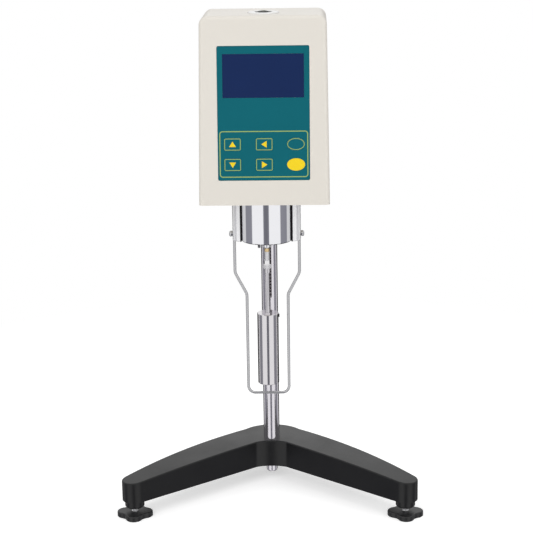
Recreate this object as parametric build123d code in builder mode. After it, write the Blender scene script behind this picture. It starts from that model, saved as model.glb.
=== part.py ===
"""Rotational viscometer on a three-point stand.

Millimetres, +Z up. The origin is the centre of the rear foot's rest face, on the bench.
The front of the instrument looks along -Y, and X = 0 is its plane of symmetry.
"""
from build123d import *
import os
from math import acos, atan2, ceil, cos, degrees, hypot, pi, radians, sin, tan

os.makedirs("parts", exist_ok=True)

# ---------------------------------------------------------------- stand
HUB_UNDERSIDE = 16.0          # height of the casting's underside above the bench
LEG_END_TOP = 35.5            # height of a leg's top face over its levelling screw
HUB_RISE = 5.8                # hub's top face above that
HUB_FRONT = 10.4              # hub's front edge ahead of the column axis
HUB_FRONT_HALF = 14.0         # half width of the hub's front arc
HUB_FRONT_DROP = 3.1          # how far that arc falls back at its ends
HUB_BACK = 35.5               # hub's rear edge behind the column axis
HUB_SHOULDER_X = 26.0         # where the rear arc meets a leg's outer edge
HUB_SHOULDER_Y = 22.5
HUB_BLEND = 8.0               # rounds the corners between hub and legs
FOOT_SPREAD = 122.0           # levelling screw to the plane of symmetry
FOOT_AHEAD = 88.0             # levelling screws ahead of the column axis
LEG_END_RADIUS = 10.9
LEG_OUTER_ANGLE = 38.0        # where a leg's outer edge meets its rounded end
CASTING_WALL = 5.0
LEG_POCKET_X = 24.0           # wide end of a leg's pocket, from the column axis
LEG_POCKET_Y = 2.0
LEG_POCKET_RADIUS = 11.0
CASTING_ROOF = 8.0
CASTING_EDGE = 1.2            # fillet along the casting's top edge
FOOT_BOSS_DIAMETER = 17.4
FOOT_BOSS_DROP = 6.8          # screw bosses below the casting's underside
FOOT_BOSS_CHAMFER = 1.2
COLUMN_BOSS_DIAMETER = 34.0
REAR_FOOT_BEHIND = 29.0       # rear foot behind the column axis
REAR_FOOT_DIAMETER = 10.0
REAR_FOOT_SPIGOT = 5.0
REAR_FOOT_SPIGOT_LENGTH = 8.0
REAR_FOOT_CHAMFER = 1.0

FOOT_SCREW_DIAMETER = 6.0
FOOT_SCREW_BOTTOM = 1.5       # screw's lower end above the bench, inside the knob
FOOT_SCREW_ENGAGED = 9.0      # screw's end above the casting's underside
FOOT_SCREW_TOP_GAP = 6.0      # room above the screw's end inside the leg
FOOT_SCREW_CHAMFER = 0.8
FOOT_KNOB_DIAMETER = 32.0
FOOT_KNOB_HEIGHT = 5.0
FOOT_KNOB_LOBES = 4
FOOT_KNOB_LOBE_RADIUS = 7.4
FOOT_KNOB_HOLLOW_RADIUS = 7.0 # hollows between the lobes
FOOT_KNOB_TOP_EDGE = 1.2
FOOT_KNOB_FOOT_EDGE = 0.5

# ---------------------------------------------------------------- column and rack
COLUMN_DIAMETER = 15.0
COLUMN_ABOVE_STOP = 8.0       # column's top above the upper stop screw
COLUMN_CHAMFER = 1.5
COLUMN_SOCKET_DEPTH = 17.0    # how far the column sits down into the hub
COLUMN_STUD_DIAMETER = 8.0
WASHER_DIAMETER = 14.0
WASHER_THICKNESS = 1.5
COLUMN_NUT_DIAMETER = 10.4
COLUMN_NUT_HEIGHT = 7.2
COLUMN_NUT_ROOF = 2.0         # closed end of the dome nut
COLUMN_NUT_DOME = 2.6
MODULE = 1.0                  # tooth size of the rack and the pinion
PINION_TEETH = 14
PRESSURE_ANGLE = 20.0
RACK_DEDENDUM = 1.25          # tooth heights, in modules
PINION_ADDENDUM = 0.9
PINION_DEDENDUM = 1.4
BACKLASH = 0.30
RACK_WIDTH = 4.2
RACK_DEPTH = 4.2
RACK_SINK = 0.4               # tooth tips below the column's surface
RACK_SPARE_PITCHES = 2        # rack beyond the pinion at each end of the travel
STOP_HEAD_DIAMETER = 3.4
STOP_HEAD_HEIGHT = 1.3
STOP_HEAD_EDGE = 0.5
STOP_SHANK_DIAMETER = 2.5
STOP_SHANK_LENGTH = 3.5
TRAVEL_DOWN = 105.0
TRAVEL_UP = 80.0
STOP_GAP = 0.8                # bracket to stop screw at the end of the travel

# ---------------------------------------------------------------- head
HEAD_BOTTOM = 292.5
HEAD_HEIGHT = 155.5
HEAD_WIDTH_BOTTOM = 109.8
HEAD_WIDTH_TOP = 105.9
HEAD_FRONT_BOTTOM = 50.5      # front face ahead of the rotor axis, at its bottom edge
HEAD_FRONT_TOP = 30.5         # and at its top edge
HEAD_BACK = 40.0              # back face behind the rotor axis
HEAD_CORNER = 7.5             # radius of the two top corners
HEAD_EDGE = 3.5               # radius round the front face
HEAD_WALL = 3.2
REAR_COVER_DEPTH = 20.0
SEAM = 0.4                    # shadow gap between housing and rear cover
BOTTOM_PLATE = 2.5
CASE_BOSS_DIAMETER = 7.0
CASE_BOSS_LENGTH = 18.0
CASE_BOSS_MERGE = 2.25        # how far a boss runs into the side wall
CASE_BOSS_ABOVE_BOTTOM = 7.5
CASE_BOSS_BELOW_TOP = 10.0
CASE_SCREW_DIAMETER = 3.0
CASE_SCREW_GRIP = 12.0
CASE_HEAD_DIAMETER = 5.5
CASE_HEAD_HEIGHT = 2.6
CASE_HEAD_SINK = 3.0
COVER_LIP = 1.5
COVER_LIP_LENGTH = 4.0
FLOAT = 0.2                   # clearance round parts that drop into an opening
CUT_START = 1.0               # cuts begin this far outside what they cut

PANEL_WIDTH = 77.0
PANEL_FOOT = 20.8             # panel's lower edge above the head's lower edge
PANEL_BELOW_TOP = 24.4        # panel's upper edge below the head's upper edge
PANEL_CORNER = 1.5
PANEL_RECESS = 1.6
PANEL_THICKNESS = 1.2
WINDOW_SIDE = 4.6             # panel on either side of the window
WINDOW_BELOW_PANEL_TOP = 6.7
WINDOW_HEIGHT = 36.2
WINDOW_LEDGE = 1.5            # the window rests on this much of the wall
DISPLAY_BORDER = 5.0
DISPLAY_DEPTH = 9.0
KEY_LEFT_MARGIN = 12.4        # centres of the outer keys inside the panel's side edges
KEY_RIGHT_MARGIN = 11.7
LOWER_KEYS_ABOVE_FOOT = 13.2  # centres of the lower keys above the panel's lower edge
KEY_ROW_SPACING = 17.0
ARROW_KEY_WIDTH = 14.1
OVAL_KEY_WIDTH = 15.0
KEY_HEIGHT = 10.3
KEY_CORNER = 2.0
KEY_PROUD = 0.15
KEY_THICKNESS = 0.95
KEY_GAP = 0.15
BOARD_BEYOND_PANEL_X = 5.5    # board's edges outside the panel's
BOARD_BEYOND_PANEL_Y = 4.2
BOARD_THICKNESS = 1.6
BOARD_GAP = 3.0               # board behind the display module
STANDOFF_DIAMETER = 5.0
STANDOFF_INSET = 3.0          # standoff's axis inside the board's edges

LEVEL_BEHIND_TOP_EDGE = 26.0
LEVEL_RING_DIAMETER = 26.5
LEVEL_BODY_DIAMETER = 19.0
LEVEL_VIAL_DIAMETER = 15.0
LEVEL_LIP = 0.9
LEVEL_DEPTH = 9.0
LEVEL_DOME = 2.0              # top of the vial above the head
LEVEL_RING_FLOOR = 1.5
VIAL_WALL = 1.5

# ---------------------------------------------------------------- lift bracket
BRACKET_REACH = 25.0          # column axis behind the head's back face
BRACKET_WIDTH = 44.0
BRACKET_HEIGHT = 70.0
BRACKET_BELOW_HEAD = 23.0     # the bracket's lower face hangs below the head
BRACKET_WALL = 7.0            # round the column's bore
BRACKET_CORNER = 2.5
BRACKET_CHAMFER = 1.0
PINION_ABOVE_BRACKET = 25.0   # pinion axis above the bracket's lower face
RUNNING = 0.05                # radial clearance of every running fit
PINION_SHAFT_DIAMETER = 6.0
PINION_BORE_CLEARANCE = 0.5
GEAR_NARROWER = 0.15          # pinion's face inside the rack's, on each side
SMALL_BUSH_DIAMETER = 10.0
BUSH_COLUMN_GAP = 0.7
LIFT_KNOB_CLEARANCE = 1.4     # between the knob and the head's back face
LIFT_KNOB_LENGTH = 20.0
LIFT_KNOB_GAP = 1.0
LIFT_KNOB_CAP = 4.0           # closed outer end of the knob
LIFT_KNOB_CHAMFER = 1.0
LIFT_KNOB_FLUTES = 16
LIFT_KNOB_FLUTE = 1.4
TENSION_ABOVE_PINION = 28.0
TENSION_SHANK_DIAMETER = 6.0
TENSION_KNOB_DIAMETER = 20.0
TENSION_KNOB_LENGTH = 12.0
TENSION_KNOB_GAP = 1.0
TENSION_KNOB_CHAMFER = 0.8
TENSION_KNOB_FLUTES = 6
TENSION_KNOB_FLUTE = 4.0
TENSION_FLUTE_DEPTH = 1.6
SHOE_DIAMETER = 8.0
SHOE_LENGTH = 4.0
BRACKET_SCREWS_ABOVE_PINION = 26.0
BRACKET_SCREW_DIAMETER = 4.0
BRACKET_SCREW_SPACING_X = 32.0
BRACKET_SCREW_SPACING_Z = 22.0
BRACKET_SCREW_GRIP = 8.0
BRACKET_SCREW_HEAD = 7.0
BRACKET_SCREW_HEAD_HEIGHT = 2.8

# ---------------------------------------------------------------- chassis and drive
SHELF_WIDTH = 72.0
LOWER_SHELF_LEDGE = 3.0       # lower shelf inside the collar's bore
BEARING_DIAMETER = 12.0
BEARING_DROP = 2.0            # bearing's lower end below the upper shelf
SHELF_THICKNESS = 3.0
LOWER_SHELF_AHEAD = 30.0      # front edges of the shelves ahead of the rotor axis
UPPER_SHELF_AHEAD = 22.0
SHELF_SPACING = 51.0          # lower shelf's top to upper shelf's underside
BACK_PLATE_THICKNESS = 3.5
BACK_PLATE_SOCKET_GAP = 4.5   # back plate below the switch's body
PILLAR_DIAMETER = 6.0
PILLAR_SPACING_X = 56.0
PILLAR_SPACING_Y = 36.0
MOTOR_SIDE = 35.0
MOTOR_HEIGHT = 28.0
MOTOR_CORNER = 4.0
DRIVE_SHAFT_DIAMETER = 5.0
DRIVE_DISC_DIAMETER = 44.0
PIVOT_DISC_DIAMETER = 40.0
DISC_THICKNESS = 1.4
DRIVE_DISC_DROP = 16.0        # discs below the upper shelf
PIVOT_DISC_DROP = 34.0
HUB_DIAMETER = 9.0
HUB_LENGTH = 5.0
PILOT_DEPTH = 10.0            # the pivot shaft's tip turns in a bore of the drive shaft
PILOT_END_GAP = 1.0
SPRING_POST_DIAMETER = 2.0
SPRING_POST_RADIUS = 14.0
SPRING_DROP = 8.0             # hairspring's top below the drive disc
GATE_WIDTH = 10.0
GATE_REACH = 5.5              # how far a light gate reaches over the rim of a disc
GATE_SLOT = 4.0
GATE_HEIGHT = 10.0
GATE_RIM_GAP = 1.5
PIVOT_SHAFT_DIAMETER = 3.0
PIVOT_SHAFT_CHAMFER = 0.6
PIVOT_HUB_LENGTH = 3.0
SPRING_TURNS = 3.5
SPRING_INNER_RADIUS = 4.6
SPRING_OUTER_RADIUS = 12.7
SPRING_STRIP = 0.5
SPRING_STRIP_HEIGHT = 1.4
COLLET_DIAMETER = 8.2
COLLET_NECK = 6.2
COLLET_LIP = 1.0              # collet beyond the hairspring's strip, above and below

# ---------------------------------------------------------------- collar and guard
COLLAR_DIAMETER = 46.0
COLLAR_LENGTH = 41.5          # collar below the head
COLLAR_WALL = 3.0
COLLAR_FLOOR = 4.0
COLLAR_CHAMFER = 0.8
COLLAR_FLANGE_WIDTH = 7.0
COLLAR_FLANGE = 3.0
COLLAR_SCREWS = 3
COLLAR_SCREW_START = 30.0     # angle of the first one
COLLAR_SCREW_DIAMETER = 3.0
COLLAR_SCREW_HEAD = 5.5
COLLAR_SCREW_HEAD_HEIGHT = 2.0
NOSE_DIAMETER = 7.2
NOSE_DROP = 7.2               # bushing below the collar
NOSE_CHAMFER = 0.4
NOSE_FLANGE_DIAMETER = 14.0
NOSE_FLANGE = 2.5
CHEEK_PROUD = 6.9             # cheek's outermost face outside the collar
CHEEK_RADIUS = 8.0
CHEEK_THICKNESS = 2.4
CHEEK_DROP = 0.5              # cheeks below the collar
CHEEK_EDGE = 1.2
CHEEK_FLOOR = 3.0
CHEEK_LIP = 1.4
CHEEK_HEAD_GAP = 0.4
WIRE_DIAMETER = 2.8
WIRE_INSET = 0.1              # wire inside the cheek's outermost face
WIRE_LOWER_HALF = 18.2        # half spacing beside the rotor
WIRE_STRAIGHT = 26.5          # from the cheeks down to the inward bend
WIRE_TAPER = 22.0             # height of the inward bend
WIRE_BELOW_ROTOR = 9.8        # guard's lowest bar below the rotor
WIRE_CORNER = 6.0
WIRE_BEND = 12.0
GUARD_SCREW_ABOVE = 5.8       # screws above the cheeks' lower end
GUARD_SCREW_HEAD = 5.3
GUARD_SCREW_DOME = 2.9
GUARD_SCREW_EDGE = 1.6
GUARD_SCREW_SHANK = 3.0
STOP_PIN_DIAMETER = 2.4
STOP_PIN_X = -6.2
STOP_PIN_AHEAD = 16.0
STOP_PIN_DROP = 3.7
STOP_PIN_EDGE = 0.5

# ---------------------------------------------------------------- spindle
RING_GAP = 0.9                # brass ring below the bushing
RING_DIAMETER = 4.4
RING_HEIGHT = 2.7
RING_CHAMFER = 0.3
NUT_DIAMETER = 4.6
NUT_LENGTH = 15.5             # coupling nut with its knurled end
NUT_GROOVE_ABOVE_KNURL = 4.1
NUT_GROOVE_DEPTH = 0.25
NUT_GROOVE_WIDTH = 0.6
PIVOT_IN_NUT = 4.2            # pivot shaft inside the nut
STUD_DIAMETER = 2.6
STUD_LENGTH = 7.0             # rotor's stud inside the nut
KNURL_DIAMETER = 7.5
KNURL_HEIGHT = 4.1
KNURL_CHAMFER = 0.4
NECK_DIAMETER = 5.2
NECK_LENGTH = 3.7
ROTOR_SHAFT_DIAMETER = 3.4
ROTOR_SHAFT_LENGTH = 29.8     # from the neck down to the cone
CONE_DIAMETER = 4.4
CONE_LENGTH = 7.1
ROTOR_DIAMETER = 18.84
ROTOR_LENGTH = 65.1
ROTOR_EDGE = 0.4

# ---------------------------------------------------------------- power jack and switch
SOCKET_X = 31.0               # jack and switch either side of the plane of symmetry
SOCKET_ABOVE_BOTTOM = 92.5    # and this far above the head's lower face
JACK_NUT = 14.0
JACK_NUT_THICKNESS = 2.0
JACK_BARREL = 11.0
JACK_LENGTH = 14.0
JACK_BORE = 6.4
JACK_PIN = 2.1
JACK_DEPTH = 12.0
SWITCH_FLANGE = 2.0
SWITCH_FLANGE_WIDTH = 15.0
SWITCH_FLANGE_HEIGHT = 21.0
SWITCH_FLANGE_CORNER = 1.5
SWITCH_BODY_WIDTH = 13.0
SWITCH_BODY_HEIGHT = 19.0
SWITCH_BODY_DEPTH = 13.0
SWITCH_POCKET_WIDTH = 10.4
SWITCH_POCKET_HEIGHT = 17.0
SWITCH_POCKET_DEPTH = 8.0
ROCKER_WIDTH = 10.0
ROCKER_HEIGHT = 16.0
ROCKER_PROUD = 2.4            # rocker's ends beyond its pivot
ROCKER_WAIST = 0.8            # rocker's middle beyond its pivot
ROCKER_BEHIND = 2.0           # rocker's flat side behind its pivot
ROCKER_TILT = 8.0
TRUNNION_DIAMETER = 2.0
TRUNNION_SPAN = 12.0

# ---------------------------------------------------------------- derived places
COLUMN_Y = -REAR_FOOT_BEHIND
BACK_Y = COLUMN_Y - BRACKET_REACH
ROTOR_Y = BACK_Y - HEAD_BACK
FOOT_Y = COLUMN_Y - FOOT_AHEAD
COLUMN_RADIUS = COLUMN_DIAMETER / 2
HUB_TOP = LEG_END_TOP + HUB_RISE
HEAD_TOP = HEAD_BOTTOM + HEAD_HEIGHT
FRONT_Y = ROTOR_Y - HEAD_FRONT_BOTTOM
FRONT_TOP_Y = ROTOR_Y - HEAD_FRONT_TOP
SPLIT_Y = BACK_Y - REAR_COVER_DEPTH
ROCKER_Y = BACK_Y + SWITCH_FLANGE - ROCKER_PROUD
SLANT = atan2(FRONT_TOP_Y - FRONT_Y, HEAD_HEIGHT)
FRONT = Plane(origin=(0, FRONT_Y, HEAD_BOTTOM), x_dir=(1, 0, 0), z_dir=(0, -cos(SLANT), sin(SLANT)))

PITCH = pi * MODULE
PITCH_RADIUS = MODULE * PINION_TEETH / 2
TOOTH_TIP = PITCH_RADIUS + PINION_ADDENDUM * MODULE
RACK_TIP = COLUMN_RADIUS - RACK_SINK
RACK_FLOOR = COLUMN_RADIUS - RACK_DEPTH
PINION_Y = COLUMN_Y - (RACK_TIP - MODULE) - PITCH_RADIUS
BRACKET_BOSS_RADIUS = COLUMN_RADIUS + BRACKET_WALL
LIFT_KNOB_RADIUS = PINION_Y - BACK_Y - LIFT_KNOB_CLEARANCE
BRACKET_BOTTOM = HEAD_BOTTOM - BRACKET_BELOW_HEAD
BRACKET_TOP = BRACKET_BOTTOM + BRACKET_HEIGHT
PINION_Z = BRACKET_BOTTOM + PINION_ABOVE_BRACKET
TENSION_Z = PINION_Z + TENSION_ABOVE_PINION
LOWER_STOP_Z = BRACKET_BOTTOM - TRAVEL_DOWN - STOP_GAP - STOP_HEAD_DIAMETER / 2
UPPER_STOP_Z = BRACKET_TOP + TRAVEL_UP + STOP_GAP + STOP_HEAD_DIAMETER / 2
COLUMN_TOP = UPPER_STOP_Z + COLUMN_ABOVE_STOP

COLLAR_RADIUS = COLLAR_DIAMETER / 2
COLLAR_BOTTOM = HEAD_BOTTOM - COLLAR_LENGTH
CHEEK_REACH = COLLAR_RADIUS + CHEEK_PROUD
CHEEK_BOTTOM = COLLAR_BOTTOM - CHEEK_DROP
GUARD_SCREW_Z = CHEEK_BOTTOM + GUARD_SCREW_ABOVE
NOSE_BOTTOM = COLLAR_BOTTOM - NOSE_DROP
RING_TOP = NOSE_BOTTOM - RING_GAP
RING_BOTTOM = RING_TOP - RING_HEIGHT
KNURL_BOTTOM = RING_BOTTOM - NUT_LENGTH
KNURL_TOP = KNURL_BOTTOM + KNURL_HEIGHT
NECK_BOTTOM = KNURL_BOTTOM - NECK_LENGTH
CONE_TOP = NECK_BOTTOM - ROTOR_SHAFT_LENGTH
ROTOR_TOP = CONE_TOP - CONE_LENGTH
ROTOR_BOTTOM = ROTOR_TOP - ROTOR_LENGTH
SOCKET_Z = HEAD_BOTTOM + SOCKET_ABOVE_BOTTOM


def save(piece, name):
    """Label a finished piece and write its STEP file."""
    piece.part.label = name
    export_step(piece.part, f"parts/{name}.step")


def at_column(z=0.0):
    """Horizontal plane at height z, centred on the column."""
    return Plane((0, COLUMN_Y, z))


def at_rotor(z=0.0):
    """Horizontal plane at height z, centred on the rotor."""
    return Plane((0, ROTOR_Y, z))


def across(x, y, z):
    """Plane whose normal is +X, for parts turned about a left-right axis."""
    return Plane(origin=(x, y, z), x_dir=(0, 1, 0), z_dir=(1, 0, 0))


def facing_back(x, y, z):
    """Plane whose normal is +Y, for parts that point to the rear."""
    return Plane(origin=(x, y, z), x_dir=(-1, 0, 0), z_dir=(0, 1, 0))


def turned(profile, x=0.0, y=0.0):
    """Solid of revolution about a vertical axis, from (radius, height) corners."""
    with BuildPart() as piece:
        with BuildSketch(Plane(origin=(x, y, 0), x_dir=(1, 0, 0), z_dir=(0, -1, 0))):
            with BuildLine():
                Polyline(*profile, close=True)
            make_face()
        revolve(axis=Axis((x, y, 0), (0, 0, 1)))
    return piece


# ================================================================ stand
def casting_plan():
    """Outline of the V-shaped casting from above, with the column axis at (0, 0)."""
    foot = Vector(FOOT_SPREAD, -FOOT_AHEAD)
    front = Vector(HUB_FRONT_HALF, -HUB_FRONT - HUB_FRONT_DROP)
    shoulder = Vector(HUB_SHOULDER_X, HUB_SHOULDER_Y)
    to_foot = foot - front
    # the inner edge of a leg is tangent to the leg's rounded end
    inner_angle = (
        180
        + degrees(atan2(to_foot.Y, to_foot.X))
        + degrees(acos(LEG_END_RADIUS / to_foot.length))
    )

    def on_end(angle):
        return foot + Vector(LEG_END_RADIUS * cos(radians(angle)), LEG_END_RADIUS * sin(radians(angle)))

    inner = on_end(inner_angle)
    outer = on_end(LEG_OUTER_ANGLE)
    tip = on_end((inner_angle - 360 + LEG_OUTER_ANGLE) / 2 + 360)
    leaving = Vector(-sin(radians(LEG_OUTER_ANGLE)), cos(radians(LEG_OUTER_ANGLE)))
    with BuildSketch() as plan:
        with BuildLine():
            Line(front, inner)
            ThreePointArc(inner, tip, outer)
            TangentArc(outer, shoulder, tangent=leaving)
            mirror(about=Plane.YZ)
            ThreePointArc((-front.X, front.Y), (0, -HUB_FRONT), front)
            ThreePointArc(shoulder, (0, HUB_BACK), (-shoulder.X, shoulder.Y))
        make_face()
        hub_corners = plan.vertices().filter_by(lambda v: abs(v.X) < HUB_SHOULDER_X + 0.1)
        fillet(hub_corners, HUB_BLEND)
    return plan.sketch


FOOT_PLACES = {"left": -FOOT_SPREAD, "right": FOOT_SPREAD}
SOCKET_BOTTOM = HUB_TOP - COLUMN_SOCKET_DEPTH
FOOT_BOSS_BOTTOM = HUB_UNDERSIDE - FOOT_BOSS_DROP
FOOT_SCREW_TOP = HUB_UNDERSIDE + FOOT_SCREW_ENGAGED

plan = casting_plan()
with BuildPart() as base_casting:
    with BuildSketch(at_column(HUB_UNDERSIDE)):
        add(plan)
    extrude(amount=HUB_TOP + HUB_RISE - HUB_UNDERSIDE)
    # the top is slightly domed, highest at the column
    reach = hypot(FOOT_SPREAD, FOOT_AHEAD)
    dome = (reach**2 + (HUB_TOP - LEG_END_TOP) ** 2) / 2 / (HUB_TOP - LEG_END_TOP)
    with Locations((0, COLUMN_Y, HUB_TOP - dome)):
        Sphere(dome, rotation=(90, 0, 0), mode=Mode.INTERSECT)
    fillet(base_casting.faces().sort_by(Axis.Z)[-1].edges(), CASTING_EDGE)
    # each leg is hollow underneath, between the column's boss and the screw's boss
    with BuildSketch(at_column(HUB_UNDERSIDE)):
        with Locations((FOOT_SPREAD, -FOOT_AHEAD)):
            Circle(LEG_END_RADIUS - CASTING_WALL)
        with Locations((LEG_POCKET_X, LEG_POCKET_Y)):
            Circle(LEG_POCKET_RADIUS)
        make_hull()
        mirror(about=Plane.YZ)
        Circle(COLUMN_BOSS_DIAMETER / 2, mode=Mode.SUBTRACT)
        with Locations((-FOOT_SPREAD, -FOOT_AHEAD), (FOOT_SPREAD, -FOOT_AHEAD)):
            Circle(FOOT_BOSS_DIAMETER / 2, mode=Mode.SUBTRACT)
    extrude(amount=LEG_END_TOP - CASTING_ROOF - HUB_UNDERSIDE, mode=Mode.SUBTRACT)
    # round bosses that carry the levelling screws
    with BuildSketch(at_column(FOOT_BOSS_BOTTOM)):
        with Locations((-FOOT_SPREAD, -FOOT_AHEAD), (FOOT_SPREAD, -FOOT_AHEAD)):
            Circle(FOOT_BOSS_DIAMETER / 2)
    extrude(amount=FOOT_BOSS_DROP + CASTING_WALL)
    chamfer(
        base_casting.edges().filter_by(GeomType.CIRCLE).filter_by(
            lambda e: abs(e.center().Z - FOOT_BOSS_BOTTOM) < 0.01
        ),
        FOOT_BOSS_CHAMFER,
    )
    # socket and through hole of the column
    with BuildSketch(at_column(HUB_TOP)):
        Circle(COLUMN_RADIUS)
    extrude(amount=-COLUMN_SOCKET_DEPTH, mode=Mode.SUBTRACT)
    with BuildSketch(at_column(HUB_TOP)):
        Circle(COLUMN_STUD_DIAMETER / 2 + RUNNING)
    extrude(amount=-HUB_TOP, mode=Mode.SUBTRACT)
    # holes of the levelling screws and the rear foot
    with BuildSketch(at_column()):
        with Locations((-FOOT_SPREAD, -FOOT_AHEAD), (FOOT_SPREAD, -FOOT_AHEAD)):
            Circle(FOOT_SCREW_DIAMETER / 2 + RUNNING)
    extrude(amount=FOOT_SCREW_TOP + FOOT_SCREW_TOP_GAP, mode=Mode.SUBTRACT)
    with BuildSketch():
        Circle(REAR_FOOT_SPIGOT / 2)
    extrude(amount=HUB_UNDERSIDE + REAR_FOOT_SPIGOT_LENGTH, mode=Mode.SUBTRACT)
save(base_casting, "base_casting")

rear_foot = turned([
    (0, 0),
    (REAR_FOOT_DIAMETER / 2 - REAR_FOOT_CHAMFER, 0),
    (REAR_FOOT_DIAMETER / 2, REAR_FOOT_CHAMFER),
    (REAR_FOOT_DIAMETER / 2, HUB_UNDERSIDE),
    (REAR_FOOT_SPIGOT / 2, HUB_UNDERSIDE),
    (REAR_FOOT_SPIGOT / 2, HUB_UNDERSIDE + REAR_FOOT_SPIGOT_LENGTH),
    (0, HUB_UNDERSIDE + REAR_FOOT_SPIGOT_LENGTH),
])
save(rear_foot, "rear_foot")

column_washer = turned([
    (COLUMN_STUD_DIAMETER / 2 + RUNNING, HUB_UNDERSIDE - WASHER_THICKNESS),
    (WASHER_DIAMETER / 2, HUB_UNDERSIDE - WASHER_THICKNESS),
    (WASHER_DIAMETER / 2, HUB_UNDERSIDE),
    (COLUMN_STUD_DIAMETER / 2 + RUNNING, HUB_UNDERSIDE),
], y=COLUMN_Y)
save(column_washer, "column_washer")

NUT_TOP = HUB_UNDERSIDE - WASHER_THICKNESS
STUD_END = NUT_TOP - COLUMN_NUT_HEIGHT + COLUMN_NUT_ROOF
with BuildPart() as column_nut:
    with BuildSketch(at_column(NUT_TOP)):
        Circle(COLUMN_NUT_DIAMETER / 2)
    extrude(amount=-COLUMN_NUT_HEIGHT)
    fillet(column_nut.edges().group_by(Axis.Z)[0], COLUMN_NUT_DOME)
    with BuildSketch(at_column(NUT_TOP)):
        Circle(COLUMN_STUD_DIAMETER / 2)
    extrude(amount=STUD_END - NUT_TOP, mode=Mode.SUBTRACT)
save(column_nut, "column_nut")

# levelling screws and their star knobs
for side, foot_x in FOOT_PLACES.items():
    foot_screw = turned([
        (0, FOOT_SCREW_BOTTOM),
        (FOOT_SCREW_DIAMETER / 2, FOOT_SCREW_BOTTOM),
        (FOOT_SCREW_DIAMETER / 2, FOOT_SCREW_TOP - FOOT_SCREW_CHAMFER),
        (FOOT_SCREW_DIAMETER / 2 - FOOT_SCREW_CHAMFER, FOOT_SCREW_TOP),
        (0, FOOT_SCREW_TOP),
    ], x=foot_x, y=FOOT_Y)
    save(foot_screw, f"foot_screw_{side}")

    with BuildPart() as foot_knob:
        lobe_centre = FOOT_KNOB_DIAMETER / 2 - FOOT_KNOB_LOBE_RADIUS
        half = pi / FOOT_KNOB_LOBES
        # a hollow's circle touches the two lobes beside it
        touch = FOOT_KNOB_LOBE_RADIUS + FOOT_KNOB_HOLLOW_RADIUS
        rise = (touch**2 - (lobe_centre * sin(half)) ** 2) ** 0.5
        hollow_centre = lobe_centre * cos(half) + rise
        touch_out = hollow_centre - rise * FOOT_KNOB_HOLLOW_RADIUS / touch
        touch_half = lobe_centre * sin(half) * FOOT_KNOB_HOLLOW_RADIUS / touch
        touching_points = [
            Vector(touch_out, side * touch_half).rotate(Axis.Z, degrees(half) * (2 * lobe + 1))
            for lobe in range(FOOT_KNOB_LOBES)
            for side in (-1, 1)
        ]
        with BuildSketch(Plane((foot_x, FOOT_Y, 0))):
            Polygon(*touching_points, align=None)
            with PolarLocations(lobe_centre, FOOT_KNOB_LOBES):
                Circle(FOOT_KNOB_LOBE_RADIUS)
            with PolarLocations(hollow_centre, FOOT_KNOB_LOBES, start_angle=degrees(half)):
                Circle(FOOT_KNOB_HOLLOW_RADIUS, mode=Mode.SUBTRACT)
        extrude(amount=FOOT_KNOB_HEIGHT)
        fillet(foot_knob.edges().group_by(Axis.Z)[-1], FOOT_KNOB_TOP_EDGE)
        chamfer(foot_knob.edges().group_by(Axis.Z)[0], FOOT_KNOB_FOOT_EDGE)
        with BuildSketch(Plane((foot_x, FOOT_Y, FOOT_SCREW_BOTTOM))):
            Circle(FOOT_SCREW_DIAMETER / 2 + RUNNING)
        extrude(amount=FOOT_KNOB_HEIGHT, mode=Mode.SUBTRACT)
    save(foot_knob, f"foot_knob_{side}")

# ================================================================ column and rack
PITCHES_BELOW = ceil(TRAVEL_DOWN / PITCH) + RACK_SPARE_PITCHES
PITCHES_ABOVE = ceil(TRAVEL_UP / PITCH) + RACK_SPARE_PITCHES
RACK_BOTTOM = PINION_Z - PITCHES_BELOW * PITCH
RACK_TOP = PINION_Z + PITCHES_ABOVE * PITCH
with BuildPart() as column:
    with BuildSketch(at_column(SOCKET_BOTTOM)):
        Circle(COLUMN_RADIUS)
    extrude(amount=COLUMN_TOP - SOCKET_BOTTOM)
    chamfer(column.edges().group_by(Axis.Z)[-1], COLUMN_CHAMFER)
    with BuildSketch(at_column(STUD_END)):
        Circle(COLUMN_STUD_DIAMETER / 2)
    extrude(amount=SOCKET_BOTTOM - STUD_END)
    # slot that holds the rack
    with BuildSketch(at_column(RACK_BOTTOM)):
        with Locations((0, -COLUMN_RADIUS)):
            Rectangle(RACK_WIDTH, 2 * RACK_DEPTH)
    extrude(amount=RACK_TOP - RACK_BOTTOM, mode=Mode.SUBTRACT)
    # tapped holes of the two stop screws
    with BuildSketch(Plane.YZ.offset(COLUMN_RADIUS)):
        with Locations((COLUMN_Y, LOWER_STOP_Z), (COLUMN_Y, UPPER_STOP_Z)):
            Circle(STOP_SHANK_DIAMETER / 2)
    extrude(amount=-STOP_SHANK_LENGTH, mode=Mode.SUBTRACT)
save(column, "column")


def rack_gap(z):
    """Corners of one straight-sided tooth space of the rack, centred at height z."""
    slope = tan(radians(PRESSURE_ANGLE))
    half_space = PITCH / 4 + BACKLASH / 4
    tip = COLUMN_Y - RACK_TIP
    root = tip + MODULE + RACK_DEDENDUM * MODULE
    return [
        (tip, z - half_space - MODULE * slope),
        (root, z - half_space + RACK_DEDENDUM * MODULE * slope),
        (root, z + half_space - RACK_DEDENDUM * MODULE * slope),
        (tip, z + half_space + MODULE * slope),
    ]


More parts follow.
